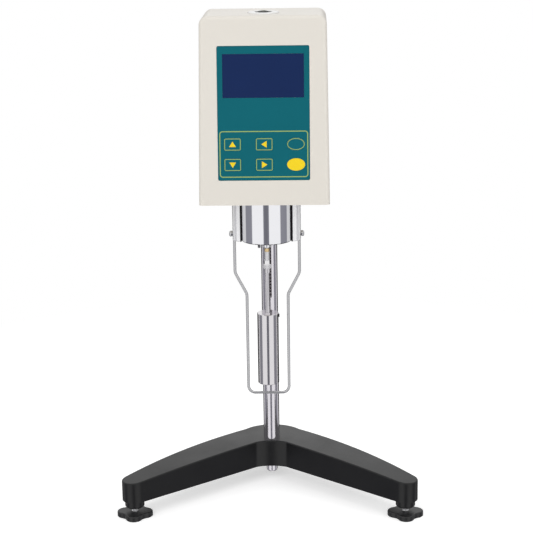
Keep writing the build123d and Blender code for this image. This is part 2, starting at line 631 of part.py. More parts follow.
rack_side = [(COLUMN_Y - RACK_FLOOR, RACK_BOTTOM), (COLUMN_Y - RACK_TIP, RACK_BOTTOM)]
for tooth in range(1 - PITCHES_BELOW, PITCHES_ABOVE):
    rack_side += rack_gap(PINION_Z + tooth * PITCH)
rack_side += [(COLUMN_Y - RACK_TIP, RACK_TOP), (COLUMN_Y - RACK_FLOOR, RACK_TOP)]
with BuildPart() as rack:
    with BuildSketch(Plane.YZ):
        with BuildLine():
            Polyline(*rack_side, close=True)
        make_face()
    extrude(amount=RACK_WIDTH / 2, both=True)
save(rack, "rack")

with BuildPart() as travel_stops:
    for stop_z in (LOWER_STOP_Z, UPPER_STOP_Z):
        with BuildSketch(across(COLUMN_RADIUS, COLUMN_Y, stop_z)):
            Circle(STOP_HEAD_DIAMETER / 2)
        extrude(amount=STOP_HEAD_HEIGHT)
        with BuildSketch(across(COLUMN_RADIUS, COLUMN_Y, stop_z)):
            Circle(STOP_SHANK_DIAMETER / 2)
        extrude(amount=-STOP_SHANK_LENGTH)
    fillet(travel_stops.edges().group_by(Axis.X)[-1], STOP_HEAD_EDGE)
save(travel_stops, "travel_stops")

# ================================================================ lift bracket
GEAR_CAVITY = TOOTH_TIP + PINION_BORE_CLEARANCE
BUSH_START = COLUMN_RADIUS + BUSH_COLUMN_GAP
GEAR_HALF = RACK_WIDTH / 2 - GEAR_NARROWER
COLUMN_BORE = COLUMN_RADIUS + RUNNING
BRACKET_SCREW_Z = PINION_Z + BRACKET_SCREWS_ABOVE_PINION
BRACKET_SCREW_PLACES = [
    (x * BRACKET_SCREW_SPACING_X / 2, BRACKET_SCREW_Z + z * BRACKET_SCREW_SPACING_Z / 2)
    for x in (-1, 1)
    for z in (-1, 1)
]



def behind_head(edge):
    """True for an edge that isn't against the head's back face."""
    return edge.center().Y > BACK_Y + BRACKET_CHAMFER


with BuildPart() as lift_bracket:
    with BuildSketch(at_column(BRACKET_BOTTOM)):
        block_depth = PINION_Y + GEAR_CAVITY - BACK_Y
        with Locations((0, BACK_Y - COLUMN_Y + block_depth / 2)):
            Rectangle(BRACKET_WIDTH, block_depth)
        Circle(BRACKET_BOSS_RADIUS)
        make_hull()
    extrude(amount=BRACKET_HEIGHT)
    fillet(lift_bracket.edges().filter_by(Axis.Z).filter_by(behind_head), BRACKET_CORNER)
    chamfer(lift_bracket.faces().filter_by(Axis.Z).edges().filter_by(behind_head), BRACKET_CHAMFER)
    with BuildSketch(at_column(BRACKET_BOTTOM)):
        Circle(COLUMN_BORE)
    extrude(amount=BRACKET_HEIGHT, mode=Mode.SUBTRACT)
    # chamber of the pinion, bored from the right, and the seat of the left bush
    with BuildSketch(across(-GEAR_HALF - PINION_BORE_CLEARANCE, PINION_Y, PINION_Z)):
        Circle(GEAR_CAVITY)
    extrude(amount=BRACKET_WIDTH, mode=Mode.SUBTRACT)
    with BuildSketch(across(-BRACKET_WIDTH / 2, PINION_Y, PINION_Z)):
        Circle(SMALL_BUSH_DIAMETER / 2)
    extrude(amount=BRACKET_WIDTH / 2, mode=Mode.SUBTRACT)
    # bore of the tension screw, with a wider end for the friction shoe
    with BuildSketch(facing_back(0, COLUMN_Y, TENSION_Z)):
        Circle(TENSION_SHANK_DIAMETER / 2 + RUNNING)
    extrude(amount=2 * BRACKET_BOSS_RADIUS, mode=Mode.SUBTRACT)
    with BuildSketch(facing_back(0, COLUMN_Y, TENSION_Z)):
        Circle(SHOE_DIAMETER / 2)
    extrude(amount=COLUMN_RADIUS + SHOE_LENGTH, mode=Mode.SUBTRACT)
    # tapped holes towards the head
    for x, z in BRACKET_SCREW_PLACES:
        with BuildSketch(facing_back(x, BACK_Y, z)):
            Circle(BRACKET_SCREW_DIAMETER / 2)
        extrude(amount=BRACKET_SCREW_GRIP, mode=Mode.SUBTRACT)
save(lift_bracket, "lift_bracket")

with BuildPart() as pinion_bushes:
    with BuildSketch(across(BUSH_START, PINION_Y, PINION_Z)):
        Circle(GEAR_CAVITY)
        Circle(PINION_SHAFT_DIAMETER / 2 + RUNNING, mode=Mode.SUBTRACT)
    extrude(amount=BRACKET_WIDTH / 2 - BUSH_START)
    with BuildSketch(across(-BRACKET_WIDTH / 2, PINION_Y, PINION_Z)):
        Circle(SMALL_BUSH_DIAMETER / 2)
        Circle(PINION_SHAFT_DIAMETER / 2 + RUNNING, mode=Mode.SUBTRACT)
    extrude(amount=BRACKET_WIDTH / 2 - BUSH_START)
save(pinion_bushes, "pinion_bushes")


def pinion_outline():
    """Closed outline of the pinion: involute flanks, one tooth pointing at the column."""
    pressure = radians(PRESSURE_ANGLE)
    base_radius = PITCH_RADIUS * cos(pressure)
    root_radius = PITCH_RADIUS - PINION_DEDENDUM * MODULE
    half_at_pitch = (PITCH / 2 - BACKLASH / 2) / 2 / PITCH_RADIUS

    def half_angle(radius):
        at = acos(min(1.0, base_radius / radius))
        return half_at_pitch + (tan(pressure) - pressure) - (tan(at) - at)

    def point(radius, angle):
        return (radius * cos(angle), radius * sin(angle))

    radii = [base_radius, (base_radius + PITCH_RADIUS) / 2, (PITCH_RADIUS + TOOTH_TIP) / 2, TOOTH_TIP]
    foot_half = half_angle(base_radius)
    with BuildSketch() as outline:
        with BuildLine():
            for tooth in range(PINION_TEETH):
                middle = 2 * pi * tooth / PINION_TEETH
                rising = [point(r, middle - half_angle(r)) for r in radii]
                falling = [point(r, middle + half_angle(r)) for r in reversed(radii)]
                next_foot = middle + 2 * pi / PINION_TEETH - foot_half
                Line(point(root_radius, middle - foot_half), rising[0])
                Spline(*rising)
                Line(rising[-1], falling[0])
                Spline(*falling)
                Line(falling[-1], point(root_radius, middle + foot_half))
                Line(point(root_radius, middle + foot_half), point(root_radius, next_foot))
        make_face()
    return outline.sketch


KNOB_START = BRACKET_WIDTH / 2 + LIFT_KNOB_GAP
with BuildPart() as pinion_shaft:
    with BuildSketch(across(-GEAR_HALF, PINION_Y, PINION_Z)):
        add(pinion_outline())
    extrude(amount=2 * GEAR_HALF)
    with BuildSketch(across(-BRACKET_WIDTH / 2, PINION_Y, PINION_Z)):
        Circle(PINION_SHAFT_DIAMETER / 2)
    extrude(amount=BRACKET_WIDTH / 2 + KNOB_START + LIFT_KNOB_LENGTH - LIFT_KNOB_CAP)
save(pinion_shaft, "pinion_shaft")

with BuildPart() as lift_knob:
    with BuildSketch(across(KNOB_START, PINION_Y, PINION_Z)):
        Circle(LIFT_KNOB_RADIUS)
    extrude(amount=LIFT_KNOB_LENGTH)
    chamfer(lift_knob.edges().group_by(Axis.X)[-1], LIFT_KNOB_CHAMFER)
    with BuildSketch(across(KNOB_START, PINION_Y, PINION_Z)):
        with PolarLocations(LIFT_KNOB_RADIUS + LIFT_KNOB_FLUTE / 3, LIFT_KNOB_FLUTES):
            Circle(LIFT_KNOB_FLUTE)
    extrude(amount=LIFT_KNOB_LENGTH, mode=Mode.SUBTRACT)
    with BuildSketch(across(KNOB_START, PINION_Y, PINION_Z)):
        Circle(PINION_SHAFT_DIAMETER / 2)
    extrude(amount=LIFT_KNOB_LENGTH - LIFT_KNOB_CAP, mode=Mode.SUBTRACT)
save(lift_knob, "lift_knob")

with BuildPart() as friction_shoe:
    with BuildSketch(facing_back(0, COLUMN_Y, TENSION_Z)):
        Circle(SHOE_DIAMETER / 2)
    extrude(amount=COLUMN_RADIUS + SHOE_LENGTH)
    with BuildSketch(at_column(TENSION_Z - SHOE_DIAMETER)):
        Circle(COLUMN_BORE)
    extrude(amount=2 * SHOE_DIAMETER, mode=Mode.SUBTRACT)
save(friction_shoe, "friction_shoe")

SHOE_BACK = COLUMN_Y + COLUMN_RADIUS + SHOE_LENGTH
TENSION_KNOB_Y = COLUMN_Y + BRACKET_BOSS_RADIUS + TENSION_KNOB_GAP
with BuildPart() as tension_screw:
    with BuildSketch(facing_back(0, SHOE_BACK, TENSION_Z)):
        Circle(TENSION_SHANK_DIAMETER / 2)
    extrude(amount=TENSION_KNOB_Y - SHOE_BACK)
    with BuildSketch(facing_back(0, TENSION_KNOB_Y, TENSION_Z)):
        Circle(TENSION_KNOB_DIAMETER / 2)
    extrude(amount=TENSION_KNOB_LENGTH)
    chamfer(tension_screw.edges().group_by(Axis.Y)[-1], TENSION_KNOB_CHAMFER)
    flute_circle = TENSION_KNOB_DIAMETER / 2 + TENSION_KNOB_FLUTE - TENSION_FLUTE_DEPTH
    with BuildSketch(facing_back(0, TENSION_KNOB_Y, TENSION_Z)):
        with PolarLocations(flute_circle, TENSION_KNOB_FLUTES):
            Circle(TENSION_KNOB_FLUTE)
    extrude(amount=TENSION_KNOB_LENGTH, mode=Mode.SUBTRACT)
save(tension_screw, "tension_screw")

# ================================================================ head
def half_width_at(z):
    """Half the head's outer width at height z."""
    taper = (HEAD_WIDTH_BOTTOM - HEAD_WIDTH_TOP) / 2 / HEAD_HEIGHT
    return HEAD_WIDTH_BOTTOM / 2 - (z - HEAD_BOTTOM) * taper


def head_form(inset=0.0, bottom=HEAD_BOTTOM):
    """Solid form of the head; with an inset, the hollow at that depth inside it."""
    top = HEAD_TOP - inset

    def front_y(z):
        return FRONT_Y + (z - HEAD_BOTTOM) * tan(SLANT) + inset / cos(SLANT)

    def half_width(z):
        return half_width_at(z) - inset

    with BuildPart() as form:
        with BuildSketch(Plane.YZ):
            with BuildLine():
                Polyline(
                    (front_y(bottom), bottom),
                    (front_y(top), top),
                    (BACK_Y - inset, top),
                    (BACK_Y - inset, bottom),
                    close=True,
                )
            make_face()
        extrude(amount=HEAD_WIDTH_BOTTOM, both=True)
        with BuildSketch(Plane.XZ.offset(-BACK_Y)) as face:
            with BuildLine():
                Polyline(
                    (-half_width(bottom), bottom),
                    (half_width(bottom), bottom),
                    (half_width(top), top),
                    (-half_width(top), top),
                    close=True,
                )
            make_face()
            fillet(face.vertices().group_by(Axis.Y)[-1], HEAD_CORNER - inset)
        extrude(amount=2 * (BACK_Y - FRONT_Y), mode=Mode.INTERSECT)
        if inset == 0:
            fillet(form.faces().sort_by(Axis.Y)[0].edges().sort_by(Axis.Z)[1:], HEAD_EDGE)
            fillet(form.faces().sort_by(Axis.Y)[-1].edges().sort_by(Axis.Z)[1:], HEAD_EDGE)
    return form.part


def on_front(depth=0.0):
    """Plane parallel to the slanted front, this far behind it, with local y up the slope."""
    return FRONT.offset(-depth)


# heights on the slanted front, measured up the slope
PANEL_TOP = HEAD_HEIGHT / cos(SLANT) - PANEL_BELOW_TOP
PANEL_HEIGHT = PANEL_TOP - PANEL_FOOT
PANEL_MIDDLE = PANEL_FOOT + PANEL_HEIGHT / 2
WINDOW_WIDTH = PANEL_WIDTH - 2 * WINDOW_SIDE
WINDOW_MIDDLE = PANEL_TOP - WINDOW_BELOW_PANEL_TOP - WINDOW_HEIGHT / 2
LEVEL_Y = FRONT_TOP_Y + LEVEL_BEHIND_TOP_EDGE
INNER_BACK_Y = BACK_Y - HEAD_WALL
CASE_SCREW_INSET = HEAD_WALL + CASE_BOSS_DIAMETER / 2 - CASE_BOSS_MERGE
CASE_SCREW_PLACES = [
    (side * (half_width_at(z) - CASE_SCREW_INSET), z)
    for side in (-1, 1)
    for z in (HEAD_BOTTOM + CASE_BOSS_ABOVE_BOTTOM, HEAD_TOP - CASE_BOSS_BELOW_TOP)
]

with BuildPart() as housing_shell:
    add(head_form())
    add(head_form(HEAD_WALL, HEAD_BOTTOM - CUT_START), mode=Mode.SUBTRACT)
    split(bisect_by=Plane.XZ.offset(-SPLIT_Y), keep=Keep.TOP)
    for x, z in CASE_SCREW_PLACES:
        with BuildSketch(facing_back(x, SPLIT_Y, z)):
            Circle(CASE_BOSS_DIAMETER / 2)
        extrude(amount=-CASE_BOSS_LENGTH)
        with BuildSketch(facing_back(x, SPLIT_Y, z)):
            Circle(CASE_SCREW_DIAMETER / 2)
        extrude(amount=-CASE_SCREW_GRIP, mode=Mode.SUBTRACT)
    with BuildSketch(on_front()):
        with Locations((0, PANEL_MIDDLE)):
            RectangleRounded(PANEL_WIDTH, PANEL_HEIGHT, PANEL_CORNER)
    extrude(amount=-PANEL_RECESS, mode=Mode.SUBTRACT)
    with BuildSketch(on_front()):
        with Locations((0, WINDOW_MIDDLE)):
            Rectangle(WINDOW_WIDTH - 2 * WINDOW_LEDGE, WINDOW_HEIGHT - 2 * WINDOW_LEDGE)
    extrude(amount=-2 * HEAD_WALL, mode=Mode.SUBTRACT)
    with BuildSketch(Plane((0, LEVEL_Y, HEAD_TOP))):
        Circle(LEVEL_BODY_DIAMETER / 2 + FLOAT / 2)
    extrude(amount=-2 * HEAD_WALL, mode=Mode.SUBTRACT)
save(housing_shell, "housing_shell")

PLATE_TOP = HEAD_BOTTOM + BOTTOM_PLATE
COLLAR_SCREW_CIRCLE = COLLAR_RADIUS + COLLAR_FLANGE_WIDTH / 2


def lip_ring(outer_inset, start_y, end_y):
    """A stretch of the rear cover's lip, open below and cut round the screw bosses."""
    with BuildPart() as ring:
        add(head_form(outer_inset, PLATE_TOP + FLOAT))
        add(head_form(HEAD_WALL + FLOAT + COVER_LIP, PLATE_TOP), mode=Mode.SUBTRACT)
        split(bisect_by=Plane.XZ.offset(-start_y), keep=Keep.BOTTOM)
        split(bisect_by=Plane.XZ.offset(-end_y), keep=Keep.TOP)
        for x, z in CASE_SCREW_PLACES:
            with BuildSketch(facing_back(x, SPLIT_Y + SEAM, z)):
                Circle(CASE_BOSS_DIAMETER / 2 + FLOAT)
            extrude(amount=-CASE_BOSS_LENGTH, mode=Mode.SUBTRACT)
    return ring.part


with BuildPart() as rear_cover:
    add(head_form())
    add(head_form(HEAD_WALL, HEAD_BOTTOM - CUT_START), mode=Mode.SUBTRACT)
    split(bisect_by=Plane.XZ.offset(-SPLIT_Y - SEAM), keep=Keep.BOTTOM)
    add(lip_ring(HEAD_WALL + FLOAT, SPLIT_Y - COVER_LIP_LENGTH, SPLIT_Y + SEAM + COVER_LIP))
    add(lip_ring(HEAD_WALL - FLOAT, SPLIT_Y + SEAM, SPLIT_Y + SEAM + COVER_LIP_LENGTH))
    for x, z in CASE_SCREW_PLACES:
        with BuildSketch(facing_back(x, SPLIT_Y + SEAM, z)):
            Circle(CASE_BOSS_DIAMETER / 2)
        extrude(amount=INNER_BACK_Y - SPLIT_Y)
        with BuildSketch(facing_back(x, SPLIT_Y, z)):
            Circle(CASE_SCREW_DIAMETER / 2)
        extrude(amount=2 * REAR_COVER_DEPTH, mode=Mode.SUBTRACT)
        with BuildSketch(facing_back(x, BACK_Y - CASE_HEAD_SINK, z)):
            Circle(CASE_HEAD_DIAMETER / 2 + FLOAT)
        extrude(amount=2 * CASE_HEAD_SINK, mode=Mode.SUBTRACT)
    # holes for the bracket's screws, the power jack and the switch
    for x, z in BRACKET_SCREW_PLACES:
        with BuildSketch(facing_back(x, INNER_BACK_Y - CUT_START, z)):
            Circle(BRACKET_SCREW_DIAMETER / 2)
        extrude(amount=2 * HEAD_WALL, mode=Mode.SUBTRACT)
    with BuildSketch(facing_back(0, INNER_BACK_Y - CUT_START, SOCKET_Z)):
        with Locations((SOCKET_X, 0)):
            Circle(JACK_BARREL / 2)
        with Locations((-SOCKET_X, 0)):
            Rectangle(SWITCH_BODY_WIDTH, SWITCH_BODY_HEIGHT)
    extrude(amount=2 * HEAD_WALL, mode=Mode.SUBTRACT)
save(rear_cover, "rear_cover")

with BuildPart() as housing_screws:
    for x, z in CASE_SCREW_PLACES:
        with BuildSketch(facing_back(x, BACK_Y - CASE_HEAD_SINK, z)):
            Circle(CASE_HEAD_DIAMETER / 2)
        extrude(amount=CASE_HEAD_HEIGHT)
        with BuildSketch(facing_back(x, SPLIT_Y - CASE_SCREW_GRIP, z)):
            Circle(CASE_SCREW_DIAMETER / 2)
        extrude(amount=BACK_Y - CASE_HEAD_SINK - SPLIT_Y + CASE_SCREW_GRIP)
        with BuildSketch(facing_back(x, BACK_Y - CASE_HEAD_SINK + CASE_HEAD_HEIGHT, z)):
            RegularPolygon(CASE_HEAD_DIAMETER / 4, 6)
        extrude(amount=-CASE_HEAD_HEIGHT / 2, mode=Mode.SUBTRACT)
save(housing_screws, "housing_screws")

# plate that closes the head from below
plate_front = FRONT_Y + BOTTOM_PLATE * tan(SLANT) + HEAD_WALL / cos(SLANT) + FLOAT
plate_back = INNER_BACK_Y - FLOAT
with BuildPart() as bottom_plate:
    with BuildSketch(Plane((0, (plate_front + plate_back) / 2, HEAD_BOTTOM))):
        Rectangle(2 * (half_width_at(PLATE_TOP) - HEAD_WALL - FLOAT), plate_back - plate_front)
    extrude(amount=BOTTOM_PLATE)
    with BuildSketch(at_rotor(HEAD_BOTTOM)):
        Circle(COLLAR_RADIUS + FLOAT)
        with PolarLocations(COLLAR_SCREW_CIRCLE, COLLAR_SCREWS, start_angle=COLLAR_SCREW_START):
            Circle(COLLAR_SCREW_DIAMETER / 2)
    extrude(amount=BOTTOM_PLATE, mode=Mode.SUBTRACT)
save(bottom_plate, "bottom_plate")

# ================================================================ panel, display and keys
LEFT_KEYS_X = KEY_LEFT_MARGIN - PANEL_WIDTH / 2
RIGHT_KEYS_X = PANEL_WIDTH / 2 - KEY_RIGHT_MARGIN
MIDDLE_KEYS_X = (LEFT_KEYS_X + RIGHT_KEYS_X) / 2
LOWER_KEYS = PANEL_FOOT + LOWER_KEYS_ABOVE_FOOT
UPPER_KEYS = LOWER_KEYS + KEY_ROW_SPACING
KEYS = {
    "key_up": (LEFT_KEYS_X, UPPER_KEYS),
    "key_down": (LEFT_KEYS_X, LOWER_KEYS),
    "key_left": (MIDDLE_KEYS_X, UPPER_KEYS),
    "key_right": (MIDDLE_KEYS_X, LOWER_KEYS),
    "key_reset": (RIGHT_KEYS_X, UPPER_KEYS),
    "key_enter": (RIGHT_KEYS_X, LOWER_KEYS),
}
OVAL_KEYS = ("key_reset", "key_enter")
PANEL_FACE = PANEL_RECESS - PANEL_THICKNESS


def key_shape(name, grow=0.0, mode=Mode.ADD):
    """Sketch a key's outline at its place, this much larger all round."""
    with Locations(KEYS[name]):
        if name in OVAL_KEYS:
            Ellipse(OVAL_KEY_WIDTH / 2 + grow, KEY_HEIGHT / 2 + grow, mode=mode)
        else:
            width, height = ARROW_KEY_WIDTH + 2 * grow, KEY_HEIGHT + 2 * grow
            RectangleRounded(width, height, KEY_CORNER + grow, mode=mode)


with BuildPart() as membrane_panel:
    with BuildSketch(on_front(PANEL_RECESS)):
        with Locations((0, PANEL_MIDDLE)):
            RectangleRounded(PANEL_WIDTH - FLOAT, PANEL_HEIGHT - FLOAT, PANEL_CORNER)
        with Locations((0, WINDOW_MIDDLE)):
            Rectangle(WINDOW_WIDTH, WINDOW_HEIGHT, mode=Mode.SUBTRACT)
        for name in KEYS:
            key_shape(name, KEY_GAP, Mode.SUBTRACT)
    extrude(amount=PANEL_THICKNESS)
save(membrane_panel, "membrane_panel")

with BuildPart() as display_window:
    with BuildSketch(on_front(PANEL_RECESS)):
        with Locations((0, WINDOW_MIDDLE)):
            Rectangle(WINDOW_WIDTH - FLOAT, WINDOW_HEIGHT - FLOAT)
    extrude(amount=PANEL_THICKNESS)
save(display_window, "display_window")

glass_inset = WINDOW_LEDGE + FLOAT
with BuildPart() as display_module:
    with BuildSketch(on_front(HEAD_WALL)):
        with Locations((0, WINDOW_MIDDLE)):
            Rectangle(WINDOW_WIDTH + 2 * DISPLAY_BORDER, WINDOW_HEIGHT + 2 * DISPLAY_BORDER)
    extrude(amount=-DISPLAY_DEPTH)
    with BuildSketch(on_front(PANEL_RECESS + FLOAT)):
        with Locations((0, WINDOW_MIDDLE)):
            Rectangle(WINDOW_WIDTH - 2 * glass_inset, WINDOW_HEIGHT - 2 * glass_inset)
    extrude(amount=-HEAD_WALL)
save(display_module, "display_module")

for name in KEYS:
    with BuildPart() as key:
        with BuildSketch(on_front(PANEL_FACE - KEY_PROUD)):
            key_shape(name)
        extrude(amount=-KEY_THICKNESS)
    save(key, name)

BOARD_WIDTH = PANEL_WIDTH + 2 * BOARD_BEYOND_PANEL_X
BOARD_HEIGHT = PANEL_HEIGHT + 2 * BOARD_BEYOND_PANEL_Y
BOARD_BEHIND = DISPLAY_DEPTH + BOARD_GAP
STANDOFF_PLACES = [
    (x * (BOARD_WIDTH / 2 - STANDOFF_INSET), PANEL_MIDDLE + y * (BOARD_HEIGHT / 2 - STANDOFF_INSET))
    for x in (-1, 1)
    for y in (-1, 1)
]
with BuildPart() as control_board:
    with BuildSketch(on_front(HEAD_WALL + BOARD_BEHIND)):
        with Locations((0, PANEL_MIDDLE)):
            Rectangle(BOARD_WIDTH, BOARD_HEIGHT)
    extrude(amount=-BOARD_THICKNESS)
save(control_board, "control_board")

with BuildPart() as board_standoffs:
    with BuildSketch(on_front(HEAD_WALL)):
        with Locations(*STANDOFF_PLACES):
            Circle(STANDOFF_DIAMETER / 2)
    extrude(amount=-BOARD_BEHIND)
save(board_standoffs, "board_standoffs")

# ================================================================ bubble level
LEVEL_FLOOR = HEAD_TOP - LEVEL_DEPTH
VIAL_BORE = LEVEL_VIAL_DIAMETER / 2 + RUNNING
level_ring = turned([
    (0, LEVEL_FLOOR),
    (LEVEL_BODY_DIAMETER / 2, LEVEL_FLOOR),
    (LEVEL_BODY_DIAMETER / 2, HEAD_TOP),
    (LEVEL_RING_DIAMETER / 2, HEAD_TOP),
    (LEVEL_RING_DIAMETER / 2, HEAD_TOP + LEVEL_LIP / 2),
    (LEVEL_RING_DIAMETER / 2 - LEVEL_LIP / 2, HEAD_TOP + LEVEL_LIP),
    (VIAL_BORE, HEAD_TOP + LEVEL_LIP),
    (VIAL_BORE, LEVEL_FLOOR + LEVEL_RING_FLOOR),
    (0, LEVEL_FLOOR + LEVEL_RING_FLOOR),
], y=LEVEL_Y)
save(level_ring, "level_ring")

# glass cup with a domed top, open below
VIAL_SEAT = LEVEL_FLOOR + LEVEL_RING_FLOOR
with BuildPart() as level_vial:
    rim = LEVEL_VIAL_DIAMETER / 2
    dome = (rim**2 + LEVEL_DOME**2) / 2 / LEVEL_DOME
    with BuildSketch(Plane((0, LEVEL_Y, VIAL_SEAT))):
        Circle(rim)
    extrude(amount=HEAD_TOP + 2 * LEVEL_DOME - VIAL_SEAT)
    with Locations((0, LEVEL_Y, HEAD_TOP + LEVEL_DOME - dome)):
        Sphere(dome, rotation=(90, 0, 0), mode=Mode.INTERSECT)
    with BuildSketch(Plane((0, LEVEL_Y, VIAL_SEAT))):
        Circle(rim - VIAL_WALL)
    extrude(amount=HEAD_TOP - VIAL_WALL - VIAL_SEAT, mode=Mode.SUBTRACT)
save(level_vial, "level_vial")

# ================================================================ collar and guard
COLLAR_INNER = COLLAR_RADIUS - COLLAR_WALL
COLLAR_FLOOR_TOP = COLLAR_BOTTOM + COLLAR_FLOOR
with BuildPart() as collar:
    with BuildSketch(at_rotor(COLLAR_BOTTOM)):
        Circle(COLLAR_RADIUS)
    extrude(amount=PLATE_TOP - COLLAR_BOTTOM)
    chamfer(collar.edges().group_by(Axis.Z)[0], COLLAR_CHAMFER)
    with BuildSketch(at_rotor(PLATE_TOP)):
        Circle(COLLAR_RADIUS + COLLAR_FLANGE_WIDTH)
    extrude(amount=COLLAR_FLANGE)
    with BuildSketch(at_rotor(COLLAR_FLOOR_TOP)):
        Circle(COLLAR_INNER)
    extrude(amount=PLATE_TOP + COLLAR_FLANGE - COLLAR_FLOOR_TOP, mode=Mode.SUBTRACT)
    with BuildSketch(at_rotor(COLLAR_BOTTOM)):
        Circle(NOSE_DIAMETER / 2)
        with Locations((STOP_PIN_X, -STOP_PIN_AHEAD)):
            Circle(STOP_PIN_DIAMETER / 2)
    extrude(amount=COLLAR_FLOOR, mode=Mode.SUBTRACT)
    with BuildSketch(at_rotor(PLATE_TOP)):
        with PolarLocations(COLLAR_SCREW_CIRCLE, COLLAR_SCREWS, start_angle=COLLAR_SCREW_START):
            Circle(COLLAR_SCREW_DIAMETER / 2)
    extrude(amount=COLLAR_FLANGE, mode=Mode.SUBTRACT)
    with BuildSketch(across(0, ROTOR_Y, GUARD_SCREW_Z)):
        Circle(GUARD_SCREW_SHANK / 2)
    extrude(amount=COLLAR_DIAMETER, both=True, mode=Mode.SUBTRACT)
save(collar, "collar")

nose_bushing = turned([
    (PIVOT_SHAFT_DIAMETER / 2 + RUNNING, NOSE_BOTTOM),
    (NOSE_DIAMETER / 2 - NOSE_CHAMFER, NOSE_BOTTOM),
    (NOSE_DIAMETER / 2, NOSE_BOTTOM + NOSE_CHAMFER),
    (NOSE_DIAMETER / 2, COLLAR_FLOOR_TOP),
    (NOSE_FLANGE_DIAMETER / 2, COLLAR_FLOOR_TOP),
    (NOSE_FLANGE_DIAMETER / 2, COLLAR_FLOOR_TOP + NOSE_FLANGE),
    (PIVOT_SHAFT_DIAMETER / 2 + RUNNING, COLLAR_FLOOR_TOP + NOSE_FLANGE),
], y=ROTOR_Y)
save(nose_bushing, "nose_bushing")

with BuildPart() as stop_pin:
    with BuildSketch(at_rotor(COLLAR_FLOOR_TOP)):
        with Locations((STOP_PIN_X, -STOP_PIN_AHEAD)):
            Circle(STOP_PIN_DIAMETER / 2)
    extrude(amount=-COLLAR_FLOOR - STOP_PIN_DROP)
    fillet(stop_pin.edges().group_by(Axis.Z)[0], STOP_PIN_EDGE)
save(stop_pin, "stop_pin")

# channel-shaped cheeks that stand on the collar and carry the wire guard
CHEEK_TOP = HEAD_BOTTOM - CHEEK_HEAD_GAP
with BuildPart() as guard_cheeks:
    cheek_span = 2 * (CHEEK_REACH - CHEEK_RADIUS)
    with BuildSketch(at_rotor(CHEEK_BOTTOM)):
        SlotCenterToCenter(cheek_span, 2 * CHEEK_RADIUS)
    extrude(amount=CHEEK_TOP - CHEEK_BOTTOM)
    fillet(guard_cheeks.edges().group_by(Axis.Z)[0], CHEEK_EDGE)
    with BuildSketch(at_rotor(CHEEK_TOP)):
        SlotCenterToCenter(cheek_span, 2 * (CHEEK_RADIUS + CHEEK_LIP))
    extrude(amount=-CHEEK_LIP)
    with BuildSketch(at_rotor(CHEEK_BOTTOM + CHEEK_FLOOR)):
        SlotCenterToCenter(cheek_span, 2 * (CHEEK_RADIUS - CHEEK_THICKNESS))
    extrude(amount=CHEEK_TOP - CHEEK_BOTTOM, mode=Mode.SUBTRACT)
    with BuildSketch(at_rotor(CHEEK_BOTTOM)):
        Circle(COLLAR_RADIUS + RUNNING)
    extrude(amount=CHEEK_TOP - CHEEK_BOTTOM, mode=Mode.SUBTRACT)
    with BuildSketch(across(0, ROTOR_Y, GUARD_SCREW_Z)):
        Circle(GUARD_SCREW_SHANK / 2)
    extrude(amount=2 * CHEEK_REACH, both=True, mode=Mode.SUBTRACT)
save(guard_cheeks, "guard_cheeks")

WIRE_UPPER_HALF = CHEEK_REACH - WIRE_DIAMETER / 2 - WIRE_INSET
with BuildPart() as guard_wire:
    with BuildLine(Plane((0, ROTOR_Y, 0), x_dir=(1, 0, 0), z_dir=(0, -1, 0))) as wire:
        right = [
            (WIRE_LOWER_HALF, ROTOR_BOTTOM - WIRE_BELOW_ROTOR),
            (WIRE_LOWER_HALF, CHEEK_BOTTOM - WIRE_STRAIGHT - WIRE_TAPER),
            (WIRE_UPPER_HALF, CHEEK_BOTTOM - WIRE_STRAIGHT),
            (WIRE_UPPER_HALF, CHEEK_BOTTOM),
        ]
        left = [(-x, z) for x, z in reversed(right)]
        FilletPolyline(
            *(left + right), radius=(WIRE_BEND, WIRE_BEND, WIRE_CORNER, WIRE_CORNER, WIRE_BEND, WIRE_BEND)
        )
    with BuildSketch(Plane((-WIRE_UPPER_HALF, ROTOR_Y, CHEEK_BOTTOM), x_dir=(1, 0, 0), z_dir=(0, 0, -1))):
        Circle(WIRE_DIAMETER / 2)
    sweep(path=wire.line)
save(guard_wire, "guard_wire")

with BuildPart() as guard_screws:
    for side in (-1, 1):
        with BuildSketch(across(side * CHEEK_REACH, ROTOR_Y, GUARD_SCREW_Z)):
            Circle(GUARD_SCREW_HEAD / 2)
        extrude(amount=side * GUARD_SCREW_DOME)
        with BuildSketch(across(side * CHEEK_REACH, ROTOR_Y, GUARD_SCREW_Z)):
            Circle(GUARD_SCREW_SHANK / 2)
        extrude(amount=-side * (CHEEK_REACH - COLLAR_INNER))
    head_ends = [guard_screws.edges().group_by(Axis.X)[end] for end in (0, -1)]
    fillet(head_ends[0] + head_ends[1], GUARD_SCREW_EDGE)
save(guard_screws, "guard_screws")

